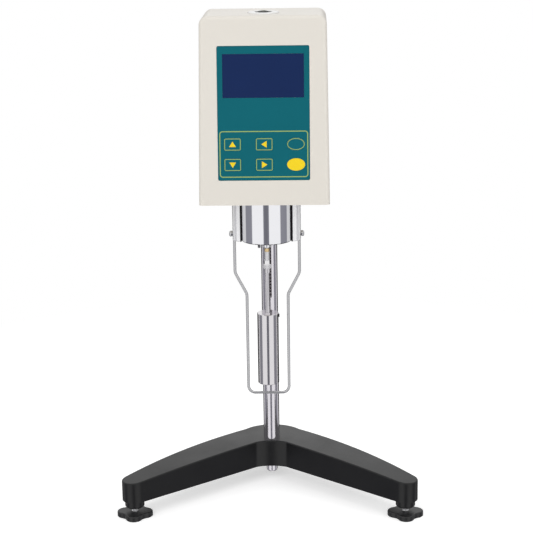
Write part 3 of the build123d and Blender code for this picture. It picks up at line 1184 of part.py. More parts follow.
# ================================================================ chassis inside the head
SHELF_BOTTOM = PLATE_TOP + COLLAR_FLANGE
UPPER_SHELF_BOTTOM = SHELF_BOTTOM + SHELF_THICKNESS + SHELF_SPACING
UPPER_SHELF_TOP = UPPER_SHELF_BOTTOM + SHELF_THICKNESS
PLATE_FACE_Y = INNER_BACK_Y - FLOAT
CHASSIS_FRONT_OF_PLATE = PLATE_FACE_Y - BACK_PLATE_THICKNESS
with BuildPart() as chassis:
    with BuildSketch(Plane((0, PLATE_FACE_Y - BACK_PLATE_THICKNESS / 2, SHELF_BOTTOM))):
        Rectangle(SHELF_WIDTH, BACK_PLATE_THICKNESS)
    extrude(amount=SOCKET_Z - SWITCH_BODY_HEIGHT / 2 - BACK_PLATE_SOCKET_GAP - SHELF_BOTTOM)
    for bottom, ahead in ((SHELF_BOTTOM, LOWER_SHELF_AHEAD), (UPPER_SHELF_BOTTOM, UPPER_SHELF_AHEAD)):
        shelf_front = ROTOR_Y - ahead
        with BuildSketch(Plane((0, (shelf_front + PLATE_FACE_Y) / 2, bottom))):
            Rectangle(SHELF_WIDTH, PLATE_FACE_Y - shelf_front)
        extrude(amount=SHELF_THICKNESS)
    with BuildSketch(at_rotor(SHELF_BOTTOM)):
        Circle(COLLAR_INNER - LOWER_SHELF_LEDGE)
        with PolarLocations(COLLAR_SCREW_CIRCLE, COLLAR_SCREWS, start_angle=COLLAR_SCREW_START):
            Circle(COLLAR_SCREW_DIAMETER / 2)
    extrude(amount=SHELF_THICKNESS, mode=Mode.SUBTRACT)
    with BuildSketch(at_rotor(UPPER_SHELF_BOTTOM)):
        Circle(BEARING_DIAMETER / 2)
    extrude(amount=SHELF_THICKNESS, mode=Mode.SUBTRACT)
    for x, z in BRACKET_SCREW_PLACES:
        with BuildSketch(facing_back(x, CHASSIS_FRONT_OF_PLATE, z)):
            Circle(BRACKET_SCREW_DIAMETER / 2)
        extrude(amount=BACK_PLATE_THICKNESS, mode=Mode.SUBTRACT)
save(chassis, "chassis")

with BuildPart() as collar_screws:
    with BuildSketch(at_rotor(SHELF_BOTTOM + SHELF_THICKNESS)):
        with PolarLocations(COLLAR_SCREW_CIRCLE, COLLAR_SCREWS, start_angle=COLLAR_SCREW_START):
            Circle(COLLAR_SCREW_HEAD / 2)
    extrude(amount=COLLAR_SCREW_HEAD_HEIGHT)
    with BuildSketch(at_rotor(SHELF_BOTTOM + SHELF_THICKNESS)):
        with PolarLocations(COLLAR_SCREW_CIRCLE, COLLAR_SCREWS, start_angle=COLLAR_SCREW_START):
            Circle(COLLAR_SCREW_DIAMETER / 2)
    extrude(amount=HEAD_BOTTOM - SHELF_BOTTOM - SHELF_THICKNESS)
save(collar_screws, "collar_screws")

with BuildPart() as bracket_screws:
    for x, z in BRACKET_SCREW_PLACES:
        with BuildSketch(facing_back(x, CHASSIS_FRONT_OF_PLATE, z)):
            Circle(BRACKET_SCREW_HEAD / 2)
        extrude(amount=-BRACKET_SCREW_HEAD_HEIGHT)
        with BuildSketch(facing_back(x, CHASSIS_FRONT_OF_PLATE, z)):
            Circle(BRACKET_SCREW_DIAMETER / 2)
        extrude(amount=BACK_Y + BRACKET_SCREW_GRIP - CHASSIS_FRONT_OF_PLATE)
save(bracket_screws, "bracket_screws")

with BuildPart() as pillars:
    with BuildSketch(at_rotor(SHELF_BOTTOM + SHELF_THICKNESS)):
        with GridLocations(PILLAR_SPACING_X, PILLAR_SPACING_Y, 2, 2):
            Circle(PILLAR_DIAMETER / 2)
    extrude(amount=SHELF_SPACING)
save(pillars, "pillars")

MOTOR_TOP = UPPER_SHELF_TOP + MOTOR_HEIGHT
with BuildPart() as motor:
    with BuildSketch(at_rotor(UPPER_SHELF_TOP)):
        RectangleRounded(MOTOR_SIDE, MOTOR_SIDE, MOTOR_CORNER)
    extrude(amount=MOTOR_HEIGHT)
    with BuildSketch(at_rotor(UPPER_SHELF_TOP)):
        Circle(DRIVE_SHAFT_DIAMETER / 2 + RUNNING)
    extrude(amount=MOTOR_HEIGHT, mode=Mode.SUBTRACT)
save(motor, "motor")

BEARING_BOTTOM = UPPER_SHELF_BOTTOM - BEARING_DROP
with BuildPart() as shelf_bearing:
    with BuildSketch(at_rotor(BEARING_BOTTOM)):
        Circle(BEARING_DIAMETER / 2)
        Circle(DRIVE_SHAFT_DIAMETER / 2 + RUNNING, mode=Mode.SUBTRACT)
    extrude(amount=UPPER_SHELF_TOP - BEARING_BOTTOM)
save(shelf_bearing, "shelf_bearing")

# ================================================================ drive and measuring spring
DRIVE_DISC_Z = UPPER_SHELF_BOTTOM - DRIVE_DISC_DROP
PIVOT_DISC_Z = UPPER_SHELF_BOTTOM - PIVOT_DISC_DROP
SPRING_TOP = DRIVE_DISC_Z - SPRING_DROP
PIVOT_TOP = DRIVE_DISC_Z + PILOT_DEPTH - PILOT_END_GAP
with BuildPart() as drive_shaft:
    with BuildSketch(at_rotor(DRIVE_DISC_Z)):
        Circle(DRIVE_SHAFT_DIAMETER / 2)
    extrude(amount=MOTOR_TOP - DRIVE_DISC_Z)
    with BuildSketch(at_rotor(DRIVE_DISC_Z)):
        Circle(PIVOT_SHAFT_DIAMETER / 2 + RUNNING)
    extrude(amount=PILOT_DEPTH, mode=Mode.SUBTRACT)
save(drive_shaft, "drive_shaft")

with BuildPart() as drive_disc:
    with BuildSketch(at_rotor(DRIVE_DISC_Z)):
        Circle(DRIVE_DISC_DIAMETER / 2)
    extrude(amount=DISC_THICKNESS)
    with BuildSketch(at_rotor(DRIVE_DISC_Z)):
        Circle(HUB_DIAMETER / 2)
    extrude(amount=HUB_LENGTH)
    with BuildSketch(at_rotor(DRIVE_DISC_Z)):
        Circle(DRIVE_SHAFT_DIAMETER / 2)
    extrude(amount=HUB_LENGTH, mode=Mode.SUBTRACT)
    with BuildSketch(at_rotor(DRIVE_DISC_Z)):
        with Locations((SPRING_POST_RADIUS, 0)):
            Circle(SPRING_POST_DIAMETER / 2)
    extrude(amount=-SPRING_DROP - 2 * SPRING_STRIP_HEIGHT)
save(drive_disc, "drive_disc")


def spiral(offset_out):
    """Points of the hairspring's edge, this far outside its middle line."""
    steps = int(SPRING_TURNS * 12)
    growth = (SPRING_OUTER_RADIUS - SPRING_INNER_RADIUS) / steps
    turn = 2 * pi * SPRING_TURNS / steps
    return [
        (
            (SPRING_INNER_RADIUS + growth * i + offset_out) * cos(turn * (i - steps)),
            (SPRING_INNER_RADIUS + growth * i + offset_out) * sin(turn * (i - steps)),
        )
        for i in range(steps + 1)
    ]


with BuildPart() as hairspring:
    with BuildSketch(at_rotor(SPRING_TOP)):
        with BuildLine():
            outer_edge = spiral(SPRING_STRIP / 2)
            inner_edge = spiral(-SPRING_STRIP / 2)
            Spline(*outer_edge)
            Line(outer_edge[-1], inner_edge[-1])
            Spline(*reversed(inner_edge))
            Line(inner_edge[0], outer_edge[0])
        make_face()
    extrude(amount=-SPRING_STRIP_HEIGHT)
save(hairspring, "hairspring")

# optical gates that read the twist between the two discs
with BuildPart() as light_gates:
    rim_y = ROTOR_Y + DRIVE_DISC_DIAMETER / 2
    post_y = rim_y + GATE_RIM_GAP
    with BuildSketch(Plane.YZ):
        post_bottom = SHELF_BOTTOM + SHELF_THICKNESS
        post_top = DRIVE_DISC_Z + DISC_THICKNESS / 2 + GATE_HEIGHT / 2
        with Locations(((post_y + CHASSIS_FRONT_OF_PLATE) / 2, (post_bottom + post_top) / 2)):
            Rectangle(CHASSIS_FRONT_OF_PLATE - post_y, post_top - post_bottom)
        for disc_z in (DRIVE_DISC_Z, PIVOT_DISC_Z):
            with Locations((post_y - GATE_REACH / 2, disc_z + DISC_THICKNESS / 2)):
                Rectangle(GATE_REACH, GATE_HEIGHT)
        for disc_z in (DRIVE_DISC_Z, PIVOT_DISC_Z):
            with Locations((post_y - GATE_REACH / 2, disc_z + DISC_THICKNESS / 2)):
                Rectangle(GATE_REACH, GATE_SLOT, mode=Mode.SUBTRACT)
    extrude(amount=GATE_WIDTH / 2, both=True)
save(light_gates, "light_gates")

# ================================================================ spindle
PIVOT_BOTTOM = RING_BOTTOM - PIVOT_IN_NUT
with BuildPart() as pivot_shaft:
    with BuildSketch(at_rotor(PIVOT_BOTTOM)):
        Circle(PIVOT_SHAFT_DIAMETER / 2)
    extrude(amount=PIVOT_TOP - PIVOT_BOTTOM)
    chamfer(pivot_shaft.edges().group_by(Axis.Z)[-1], PIVOT_SHAFT_CHAMFER)
save(pivot_shaft, "pivot_shaft")

COLLET_BOTTOM = SPRING_TOP - SPRING_STRIP_HEIGHT - COLLET_LIP

pivot_disc = turned([
    (PIVOT_SHAFT_DIAMETER / 2, PIVOT_DISC_Z - PIVOT_HUB_LENGTH),
    (HUB_DIAMETER / 2, PIVOT_DISC_Z - PIVOT_HUB_LENGTH),
    (HUB_DIAMETER / 2, PIVOT_DISC_Z),
    (PIVOT_DISC_DIAMETER / 2, PIVOT_DISC_Z),
    (PIVOT_DISC_DIAMETER / 2, PIVOT_DISC_Z + DISC_THICKNESS),
    (COLLET_NECK / 2, PIVOT_DISC_Z + DISC_THICKNESS),
    (COLLET_NECK / 2, COLLET_BOTTOM),
    (COLLET_DIAMETER / 2, COLLET_BOTTOM),
    (COLLET_DIAMETER / 2, SPRING_TOP + COLLET_LIP),
    (PIVOT_SHAFT_DIAMETER / 2, SPRING_TOP + COLLET_LIP),
], y=ROTOR_Y)
save(pivot_disc, "pivot_disc")

brass_ring = turned([
    (PIVOT_SHAFT_DIAMETER / 2, RING_BOTTOM),
    (RING_DIAMETER / 2, RING_BOTTOM),
    (RING_DIAMETER / 2, RING_TOP - RING_CHAMFER),
    (RING_DIAMETER / 2 - RING_CHAMFER, RING_TOP),
    (PIVOT_SHAFT_DIAMETER / 2, RING_TOP),
], y=ROTOR_Y)
save(brass_ring, "brass_ring")

nut = NUT_DIAMETER / 2
groove = nut - NUT_GROOVE_DEPTH
knurl = KNURL_DIAMETER / 2
GROOVE_Z = KNURL_TOP + NUT_GROOVE_ABOVE_KNURL
coupling_nut = turned([
    (STUD_DIAMETER / 2, KNURL_BOTTOM),
    (knurl - KNURL_CHAMFER, KNURL_BOTTOM),
    (knurl, KNURL_BOTTOM + KNURL_CHAMFER),
    (knurl, KNURL_TOP - KNURL_CHAMFER),
    (knurl - KNURL_CHAMFER, KNURL_TOP),
    (nut, KNURL_TOP),
    (nut, GROOVE_Z - NUT_GROOVE_WIDTH / 2),
    (groove, GROOVE_Z - NUT_GROOVE_WIDTH / 2),
    (groove, GROOVE_Z + NUT_GROOVE_WIDTH / 2),
    (nut, GROOVE_Z + NUT_GROOVE_WIDTH / 2),
    (nut, RING_BOTTOM),
    (PIVOT_SHAFT_DIAMETER / 2, RING_BOTTOM),
    (PIVOT_SHAFT_DIAMETER / 2, PIVOT_BOTTOM),
    (STUD_DIAMETER / 2, PIVOT_BOTTOM),
], y=ROTOR_Y)
save(coupling_nut, "coupling_nut")

rotor_shaft = turned([
    (0, ROTOR_TOP),
    (CONE_DIAMETER / 2, ROTOR_TOP),
    (ROTOR_SHAFT_DIAMETER / 2, CONE_TOP),
    (ROTOR_SHAFT_DIAMETER / 2, NECK_BOTTOM),
    (NECK_DIAMETER / 2, NECK_BOTTOM),
    (NECK_DIAMETER / 2, KNURL_BOTTOM),
    (STUD_DIAMETER / 2, KNURL_BOTTOM),
    (STUD_DIAMETER / 2, KNURL_BOTTOM + STUD_LENGTH),
    (0, KNURL_BOTTOM + STUD_LENGTH),
], y=ROTOR_Y)
save(rotor_shaft, "rotor_shaft")

rotor = ROTOR_DIAMETER / 2
rotor_body = turned([
    (0, ROTOR_BOTTOM),
    (rotor - ROTOR_EDGE, ROTOR_BOTTOM),
    (rotor, ROTOR_BOTTOM + ROTOR_EDGE),
    (rotor, ROTOR_TOP - ROTOR_EDGE),
    (rotor - ROTOR_EDGE, ROTOR_TOP),
    (0, ROTOR_TOP),
], y=ROTOR_Y)
save(rotor_body, "rotor_body")

# ================================================================ power jack and switch
with BuildPart() as power_jack:
    with BuildSketch(facing_back(-SOCKET_X, BACK_Y, SOCKET_Z)):
        Circle(JACK_NUT / 2)
    extrude(amount=JACK_NUT_THICKNESS)
    with BuildSketch(facing_back(-SOCKET_X, BACK_Y, SOCKET_Z)):
        Circle(JACK_BARREL / 2)
    extrude(amount=-JACK_LENGTH)
    with BuildSketch(facing_back(-SOCKET_X, BACK_Y + JACK_NUT_THICKNESS, SOCKET_Z)):
        Circle(JACK_BORE / 2)
        Circle(JACK_PIN / 2, mode=Mode.SUBTRACT)
    extrude(amount=-JACK_DEPTH, mode=Mode.SUBTRACT)
save(power_jack, "power_jack")

with BuildPart() as switch_bezel:
    with BuildSketch(facing_back(SOCKET_X, BACK_Y, SOCKET_Z)):
        RectangleRounded(SWITCH_FLANGE_WIDTH, SWITCH_FLANGE_HEIGHT, SWITCH_FLANGE_CORNER)
    extrude(amount=SWITCH_FLANGE)
    with BuildSketch(facing_back(SOCKET_X, BACK_Y, SOCKET_Z)):
        Rectangle(SWITCH_BODY_WIDTH, SWITCH_BODY_HEIGHT)
    extrude(amount=-SWITCH_BODY_DEPTH)
    with BuildSketch(facing_back(SOCKET_X, BACK_Y + SWITCH_FLANGE, SOCKET_Z)):
        Rectangle(SWITCH_POCKET_WIDTH, SWITCH_POCKET_HEIGHT)
    extrude(amount=-SWITCH_POCKET_DEPTH, mode=Mode.SUBTRACT)
    with BuildSketch(across(SOCKET_X, ROCKER_Y, SOCKET_Z)):
        Circle(TRUNNION_DIAMETER / 2 + RUNNING)
    extrude(amount=(TRUNNION_SPAN + FLOAT) / 2, both=True, mode=Mode.SUBTRACT)
save(switch_bezel, "switch_bezel")

rocker_plane = Plane(
    origin=(SOCKET_X, ROCKER_Y, SOCKET_Z),
    x_dir=(0, cos(radians(ROCKER_TILT)), sin(radians(ROCKER_TILT))),
    z_dir=(1, 0, 0),
)
with BuildPart() as power_rocker:
    half = ROCKER_HEIGHT / 2
    with BuildSketch(rocker_plane):
        with BuildLine():
            Polyline(
                (-ROCKER_BEHIND, -half),
                (ROCKER_PROUD, -half),
                (ROCKER_WAIST, 0),
                (ROCKER_PROUD, half),
                (-ROCKER_BEHIND, half),
                close=True,
            )
        make_face()
    extrude(amount=ROCKER_WIDTH / 2, both=True)
    with BuildSketch(across(SOCKET_X, ROCKER_Y, SOCKET_Z)):
        Circle(TRUNNION_DIAMETER / 2)
    extrude(amount=TRUNNION_SPAN / 2, both=True)
save(power_rocker, "power_rocker")
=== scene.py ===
from math import ceil, cos, pi, radians, sin, tau

import bmesh
import bpy
from bpy.props import FloatProperty, FloatVectorProperty, PointerProperty
from mathutils import Matrix, Vector


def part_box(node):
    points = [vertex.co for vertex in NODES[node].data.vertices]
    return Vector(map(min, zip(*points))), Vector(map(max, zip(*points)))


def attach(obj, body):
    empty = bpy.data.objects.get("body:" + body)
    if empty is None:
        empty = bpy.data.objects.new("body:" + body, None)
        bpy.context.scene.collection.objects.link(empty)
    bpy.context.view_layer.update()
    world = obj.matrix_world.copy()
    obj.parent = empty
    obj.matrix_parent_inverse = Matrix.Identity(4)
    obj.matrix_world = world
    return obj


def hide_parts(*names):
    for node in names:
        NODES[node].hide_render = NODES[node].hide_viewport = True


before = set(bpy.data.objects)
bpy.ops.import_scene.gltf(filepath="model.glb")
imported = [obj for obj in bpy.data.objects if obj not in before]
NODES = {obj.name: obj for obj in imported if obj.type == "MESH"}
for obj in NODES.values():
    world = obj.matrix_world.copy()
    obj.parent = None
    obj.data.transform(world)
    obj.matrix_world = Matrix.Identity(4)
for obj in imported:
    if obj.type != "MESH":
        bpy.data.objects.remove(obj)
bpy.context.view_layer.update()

bl_info = {
    "name": "Rotational viscometer finish",
    "version": (1, 0, 0),
    "blender": (4, 5, 0),
    "location": "3D View > Sidebar > Viscometer",
    "description": "Finishes every piece of a packed rotational viscometer and sets its stage",
    "category": "Object",
}

MM = 0.001


def from_screen(red, green, blue):
    """Linear colour of an 8-bit screen colour."""
    def linear(value):
        value /= 255
        return value / 12.92 if value <= 0.04045 else ((value + 0.055) / 1.055) ** 2.4

    return tuple(linear(value) for value in (red, green, blue))


def shaded(colour, factor):
    """A lighter or darker tone of a colour."""
    return tuple(value * factor for value in colour)


def middle(node):
    """Centre of a node's box."""
    low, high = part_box(node)
    return (low + high) / 2


ROTOR_AXIS = middle("rotor_body")


# ---------------------------------------------------------------- shader maths
class Signal:
    """A value inside a shader. Arithmetic on it adds Math nodes."""

    def __init__(self, recipe, socket):
        self.recipe = recipe
        self.socket = socket

    def __add__(self, other):
        return self.recipe.maths("ADD", self, other)

    def __sub__(self, other):
        return self.recipe.maths("SUBTRACT", self, other)

    def __rsub__(self, other):
        return self.recipe.maths("SUBTRACT", other, self)

    def __mul__(self, other):
        return self.recipe.maths("MULTIPLY", self, other)

    def __truediv__(self, other):
        return self.recipe.maths("DIVIDE", self, other)

    def __gt__(self, other):
        return self.recipe.maths("GREATER_THAN", self, other)

    __radd__ = __add__


class Recipe:
    """Builds one node tree."""

    def __init__(self, tree):
        self.tree = tree

    def add(self, kind, inputs=None, output=0, stops=None, **settings):
        """Add a node: its settings first, then a ramp's stops, then values or links."""
        node = self.tree.nodes.new(kind)
        for key, value in settings.items():
            setattr(node, key, value)
        if stops:
            ramp = node.color_ramp
            while len(ramp.elements) < len(stops):
                ramp.elements.new(1.0)
            for element, (place, shade) in zip(ramp.elements, stops):
                element.position = place
                colour = shade if isinstance(shade, tuple) else (shade, shade, shade)
                element.color = (*colour, 1.0)
        for key, value in (inputs or {}).items():
            self.feed(node.inputs[key], value)
        return Signal(self, node.outputs[output]) if node.outputs else None

    def feed(self, socket, value):
        """Link a signal to a socket, or set a plain value on it."""
        if isinstance(value, Signal):
            self.tree.links.new(value.socket, socket)
        elif isinstance(value, (tuple, list)) and socket.type == "RGBA":
            socket.default_value = (*value[:3], 1.0)
        else:
            socket.default_value = value

    def maths(self, operation, *values):
        return self.add("ShaderNodeMath", dict(enumerate(values)), operation=operation)

    def blend(self, factor, first, second):
        """Mix two colours."""
        inputs = {0: factor, 6: first, 7: second}
        return self.add("ShaderNodeMix", inputs, output=2, data_type="RGBA")

    def place(self):
        """Position on the piece, in metres."""
        return self.add("ShaderNodeTexCoord", output="Object")

    def axis(self, place, name):
        return self.add("ShaderNodeSeparateXYZ", {0: place}, output=name)

    def noise(self, size, stretch=(1.0, 1.0, 1.0), detail=2.0, place=None):
        """Noise whose blobs are about this many metres across, longer where stretch is larger."""
        scale = tuple(1.0 / value for value in stretch)
        where = self.add("ShaderNodeMapping", {"Vector": place or self.place(), "Scale": scale})
        inputs = {"Vector": where, "Scale": 1.0 / size, "Detail": detail}
        return self.add("ShaderNodeTexNoise", inputs)

    def bump(self, height, depth, strength):
        inputs = {"Height": height, "Distance": depth, "Strength": strength}
        return self.add("ShaderNodeBump", inputs)


class Finish(Recipe):
    """A material with one Principled shader."""

    def __init__(self, name):
        self.material = bpy.data.materials.new(name)
        self.material.use_nodes = True
        super().__init__(self.material.node_tree)
        self.shader = self.tree.nodes["Principled BSDF"]

    def surface(self, **values):
        """Set sockets by name, with underscores for spaces."""
        for key, value in values.items():
            self.feed(self.shader.inputs[key.replace("_", " ")], value)
        return self.material


# ---------------------------------------------------------------- finishes
# how far the grain of a metal is stretched along X, Y and Z
EVEN_GRAIN = (1.0, 1.0, 1.0)
PLATED_GRAIN = (1.0, 1.0, 10.0)
WIRE_GRAIN = (1.0, 1.0, 12.0)
PIN_GRAIN = (1.0, 1.0, 6.0)
COLUMN_GRAIN = (8.0, 8.0, 1.0)
ROTOR_GRAIN = (12.0, 12.0, 0.6)
SPINDLE_GRAIN = (6.0, 6.0, 1.0)
RING_GRAIN = (4.0, 4.0, 1.0)
CROSS_GRAIN = (1.0, 4.0, 4.0)
SHEET_GRAIN = (4.0, 1.0, 1.0)
# depths of the grain, in metres
GRAIN_DEPTH = 0.000004
FINE_GRAIN_DEPTH = 0.000002
COLUMN_GRAIN_DEPTH = 0.0000012
# black painted where the cheeks meet the collar, as painted shade for the gap between them
PAINTED_SHADE_BLACK = (0.004, 0.004, 0.005)


def moulded_enamel(name, colour, roughness=0.38):
    """Smooth sprayed enamel: faint cloudiness, dust specks and a shallow orange peel."""
    finish = Finish(name)
    cloud = finish.noise(0.045, detail=3.0)
    speck = finish.noise(0.0006, detail=1.0) > 0.74
    shade = finish.blend(cloud * 0.5, colour, shaded(colour, 0.965))
    shade = finish.blend(speck * 0.12, shade, shaded(colour, 0.72))
    peel = finish.noise(0.0011, detail=2.0)
    return finish.surface(
        Base_Color=shade,
        Roughness=roughness + (cloud - 0.5) * 0.12,
        Coat_Weight=0.12,
        Coat_Roughness=0.18,
        Normal=finish.bump(peel, 0.00004, 0.35),
    )


def satin_casting(name, colour):
    """Black enamel over a sand casting: fine pebbling, uneven sheen and rubbed spots."""
    finish = Finish(name)
    cloud = finish.noise(0.03, detail=4.0)
    pebble = finish.noise(0.0009, detail=3.0)
    rubbed = (finish.noise(0.006, detail=5.0) > 0.70) * 0.35
    shade = finish.blend(rubbed, colour, shaded(colour, 4))
    return finish.surface(
        Base_Color=shade,
        Roughness=0.34 + (cloud - 0.5) * 0.22,
        Specular_IOR_Level=0.44,
        Normal=finish.bump(pebble, 0.00006, 0.5),
    )


def moulded_plastic(name, colour, roughness=0.4, grain=0.00035):
    """Moulded plastic with a spark-eroded grain."""
    finish = Finish(name)
    texture = finish.noise(grain, detail=2.0)
    cloud = finish.noise(0.012, detail=2.0)
    return finish.surface(
        Base_Color=finish.blend(cloud * 0.6, colour, shaded(colour, 0.82)),
        Roughness=roughness + (cloud - 0.5) * 0.16,
        Normal=finish.bump(texture, 0.00003, 0.5),
    )


def bright_metal(name, colour, roughness, grain, depth=GRAIN_DEPTH, metallic=1.0, joint=None):
    """Plated or turned metal with a stretched grain. The last argument gives a black band of
    painted shade where two parts meet, by its distance from the middle of the instrument and half
    its width."""
    finish = Finish(name)
    lines = finish.noise(0.0005, stretch=grain, detail=3.0)
    haze = finish.noise(0.014, detail=3.0)
    shade = finish.blend(haze * 0.5, colour, shaded(colour, 0.93))
    # painted shade: inside the gap band the colour turns black and the metal stops being metallic
    if joint:
        aside = finish.maths("ABSOLUTE", finish.axis(finish.place(), "X"))
        in_painted_gap = finish.maths("COMPARE", aside, *joint)
        shade = finish.blend(in_painted_gap, shade, PAINTED_SHADE_BLACK)
        metallic = (1 - in_painted_gap) * metallic
    return finish.surface(
        Base_Color=shade,
        Metallic=metallic,
        Roughness=roughness + (haze - 0.5) * roughness * 0.7,
        Normal=finish.bump(lines, depth, 0.6),
    )


def printed_film(name, colour):
    """Printed polyester film with a velvet face."""
    finish = Finish(name)
    velvet = finish.noise(0.00022, detail=1.0)
    cloud = finish.noise(0.02, detail=2.0)
    return finish.surface(
        Base_Color=finish.blend(cloud * 0.7, colour, shaded(colour, 0.88)),
        Roughness=0.42 + (cloud - 0.5) * 0.1,
        Specular_IOR_Level=0.08,
        Normal=finish.bump(velvet, 0.000012, 0.6),
    )


def ink(name, colour):
    """Screen-printed ink with slightly uneven cover."""
    finish = Finish(name)
    cover = finish.noise(0.0004, detail=2.0)
    return finish.surface(
        Base_Color=finish.blend(cover * 0.5, colour, shaded(colour, 0.8)),
        Roughness=0.45 + (cover - 0.5) * 0.2,
        Normal=finish.bump(cover, 0.00001, 0.4),
    )


def dot_matrix(name, colour, pitch):
    """Unlit blue display behind a clear window: square dots with darker gaps."""
    finish = Finish(name)
    place = finish.place()

    def gap(axis):
        across = finish.maths("FRACT", finish.axis(place, axis) / pitch)
        return across > 0.86

    gaps = finish.maths("MAXIMUM", gap("X"), gap("Z"))
    glow = finish.noise(0.03, detail=1.0, place=place)
    lit = finish.blend(glow * 0.6, colour, shaded(colour, 0.82))
    return finish.surface(
        Base_Color=finish.blend(gaps * 0.3, lit, shaded(colour, 0.6)),
        Roughness=0.2 + glow * 0.06,
        Specular_IOR_Level=0.08,
        Coat_Weight=0.1,
        Coat_Roughness=0.06,
    )


def dark_fluid(name, colour):
    """Dark liquid seen through the level's dome."""
    finish = Finish(name)
    depth = finish.noise(0.008, detail=1.0)
    return finish.surface(
        Base_Color=finish.blend(depth, colour, shaded(colour, 0.5)),
        Roughness=0.22 + depth * 0.05,
        Specular_IOR_Level=0.12,
    )


# ---------------------------------------------------------------- mesh helpers
SHARP_ANGLE = radians(40.0)


def rounded_outline(width, height, radius, steps=6):
    """Corners of a rounded rectangle round (0, 0), anticlockwise."""
    points = []
    for turn in range(4):
        corner_x = (width / 2 - radius) * (1 if turn in (0, 3) else -1)
        corner_y = (height / 2 - radius) * (1 if turn in (0, 1) else -1)
        for step in range(steps + 1):
            angle = pi / 2 * (turn + step / steps)
            points.append((corner_x + radius * cos(angle), corner_y + radius * sin(angle)))
    return points


def ellipse_outline(width, height, count=48):
    """Corners of an ellipse round (0, 0), anticlockwise."""
    return [
        (width / 2 * cos(tau * step / count), height / 2 * sin(tau * step / count))
        for step in range(count)
    ]


def new_piece(name, mesh):
    """Object made from a mesh, smooth but for its sharp edges."""
    mesh.normal_update()
    data = bpy.data.meshes.new(name)
    mesh.to_mesh(data)
    mesh.free()
    data.shade_smooth()
    piece = bpy.data.objects.new(name, data)
    bpy.context.scene.collection.objects.link(piece)
    data.set_sharp_from_angle(angle=SHARP_ANGLE)
    return piece


def join_rings(mesh, lower, upper):
    """Band of four-sided faces between two closed rings."""
    for step in range(len(lower)):
        after = (step + 1) % len(lower)
        mesh.faces.new((lower[step], lower[after], upper[after], upper[step]))


def join_rings_across(mesh, first, second):
    """The same band, with each face begun across it and turned the other way."""
    for step in range(len(first)):
        after = (step + 1) % len(first)
        mesh.faces.new((first[step], second[step], second[after], first[after]))


def close_ends(mesh, rings):
    """Flat faces over the first and the last ring."""
    mesh.faces.new(list(reversed(rings[0])))
    mesh.faces.new(rings[-1])


def round_at(radius):
    """The same radius at every angle."""
    return lambda angle: radius


def upright_ring(mesh, centre, height, radius_at, segments):
    """Closed ring round a vertical axis, from a function from angle to radius."""
    ring = []
    for step in range(segments):
        angle = tau * step / segments
        radius = radius_at(angle)
        x, y = centre.x + radius * cos(angle), centre.y + radius * sin(angle)
        ring.append(mesh.verts.new((x, y, height)))
    return ring


def printed_shape(name, place, outline, thickness, hole=None):
    """Thin raised print in the plane of place, solid or with a hole of as many corners."""
    mesh = bmesh.new()

    def ring(points, height):
        return [mesh.verts.new(place @ Vector((x, y, height))) for x, y in points]

    top, foot = ring(outline, thickness), ring(outline, -thickness)
    pairs = [(foot, top)]
    if hole:
        inner_top, inner_foot = ring(hole, thickness), ring(hole, -thickness)
        pairs += [(top, inner_top), (inner_top, inner_foot), (inner_foot, foot)]
    else:
        mesh.faces.new(top)
        mesh.faces.new(list(reversed(foot)))
    for lower, upper in pairs:
        join_rings(mesh, lower, upper)
    return new_piece(name, mesh)


def front_of(node):
    """Frame of a node's front face on the slanted panel, with its width and height."""
    faces = [face for face in NODES["membrane_panel"].data.polygons if face.normal.y < 0]
    normal = max(faces, key=lambda face: face.area).normal.copy()
    across = Vector((1, 0, 0))
    upward = normal.cross(across)
    spans = []
    for direction in (across, upward, normal):
        along = [vertex.co.dot(direction) for vertex in NODES[node].data.vertices]
        spans.append((min(along), max(along)))
    centre = sum(
        (direction * (low + high) / 2 for direction, (low, high) in zip((across, upward), spans)),
        normal * spans[2][1],
    )
    place = Matrix((across, upward, normal)).transposed().to_4x4()
    place.translation = centre
    return place, spans[0][1] - spans[0][0], spans[1][1] - spans[1][0]


def turned_grid(name, centre, rows, segments):
    """Closed turned piece; rows are heights with a function from angle to radius."""
    mesh = bmesh.new()
    rings = [upright_ring(mesh, centre, height, radius_at, segments) for height, radius_at in rows]
    for lower, upper in zip(rings, rings[1:]):
        join_rings(mesh, lower, upper)
    close_ends(mesh, rings)
    return new_piece(name, mesh)


def paint(material, *nodes):
    """Give CAD nodes a finish."""
    for node in nodes:
        NODES[node].data.materials.clear()
        NODES[node].data.materials.append(material)


def mount(piece, material, body, instead_of=None):
    """Finish a new piece and let it ride on a body."""
    piece.data.materials.append(material)
    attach(piece, body)
    if instead_of:
        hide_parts(instead_of)


# ---------------------------------------------------------------- settings
class ViscometerFinish(bpy.types.PropertyGroup):
    """Colours and sizes of the finishes."""

    ivory: FloatVectorProperty(
        name="Head enamel",
        description="Colour of the head's enamel",
        subtype="COLOR",
        default=from_screen(228, 223, 214),
    )
    casting: FloatVectorProperty(
        name="Casting enamel",
        description="Colour of the base and the lift bracket",
        subtype="COLOR",
        default=(0.0025, 0.0025, 0.003),
    )
    film: FloatVectorProperty(
        name="Panel film",
        description="Colour of the membrane panel",
        subtype="COLOR",
        default=from_screen(16, 102, 114),
    )
    lines: FloatVectorProperty(
        name="Panel lines",
        description="Colour of the printed lines round the keys",
        subtype="COLOR",
        default=from_screen(158, 184, 104),
    )
    bright: FloatVectorProperty(
        name="Key print",
        description="Colour of the arrows and the solid key",
        subtype="COLOR",
        default=from_screen(252, 219, 12),
    )
    display: FloatVectorProperty(
        name="Display",
        description="Colour of the unlit display",
        subtype="COLOR",
        default=from_screen(28, 46, 90),
    )
    print_thickness: FloatProperty(
        name="Print thickness",
        description="Height of the printed lines above the film",
        default=0.00004,
        unit="LENGTH",
    )
    thread_depth: FloatProperty(
        name="Thread depth",
        description="Depth of the thread on the levelling screws",
        default=0.0005,
        unit="LENGTH",
    )


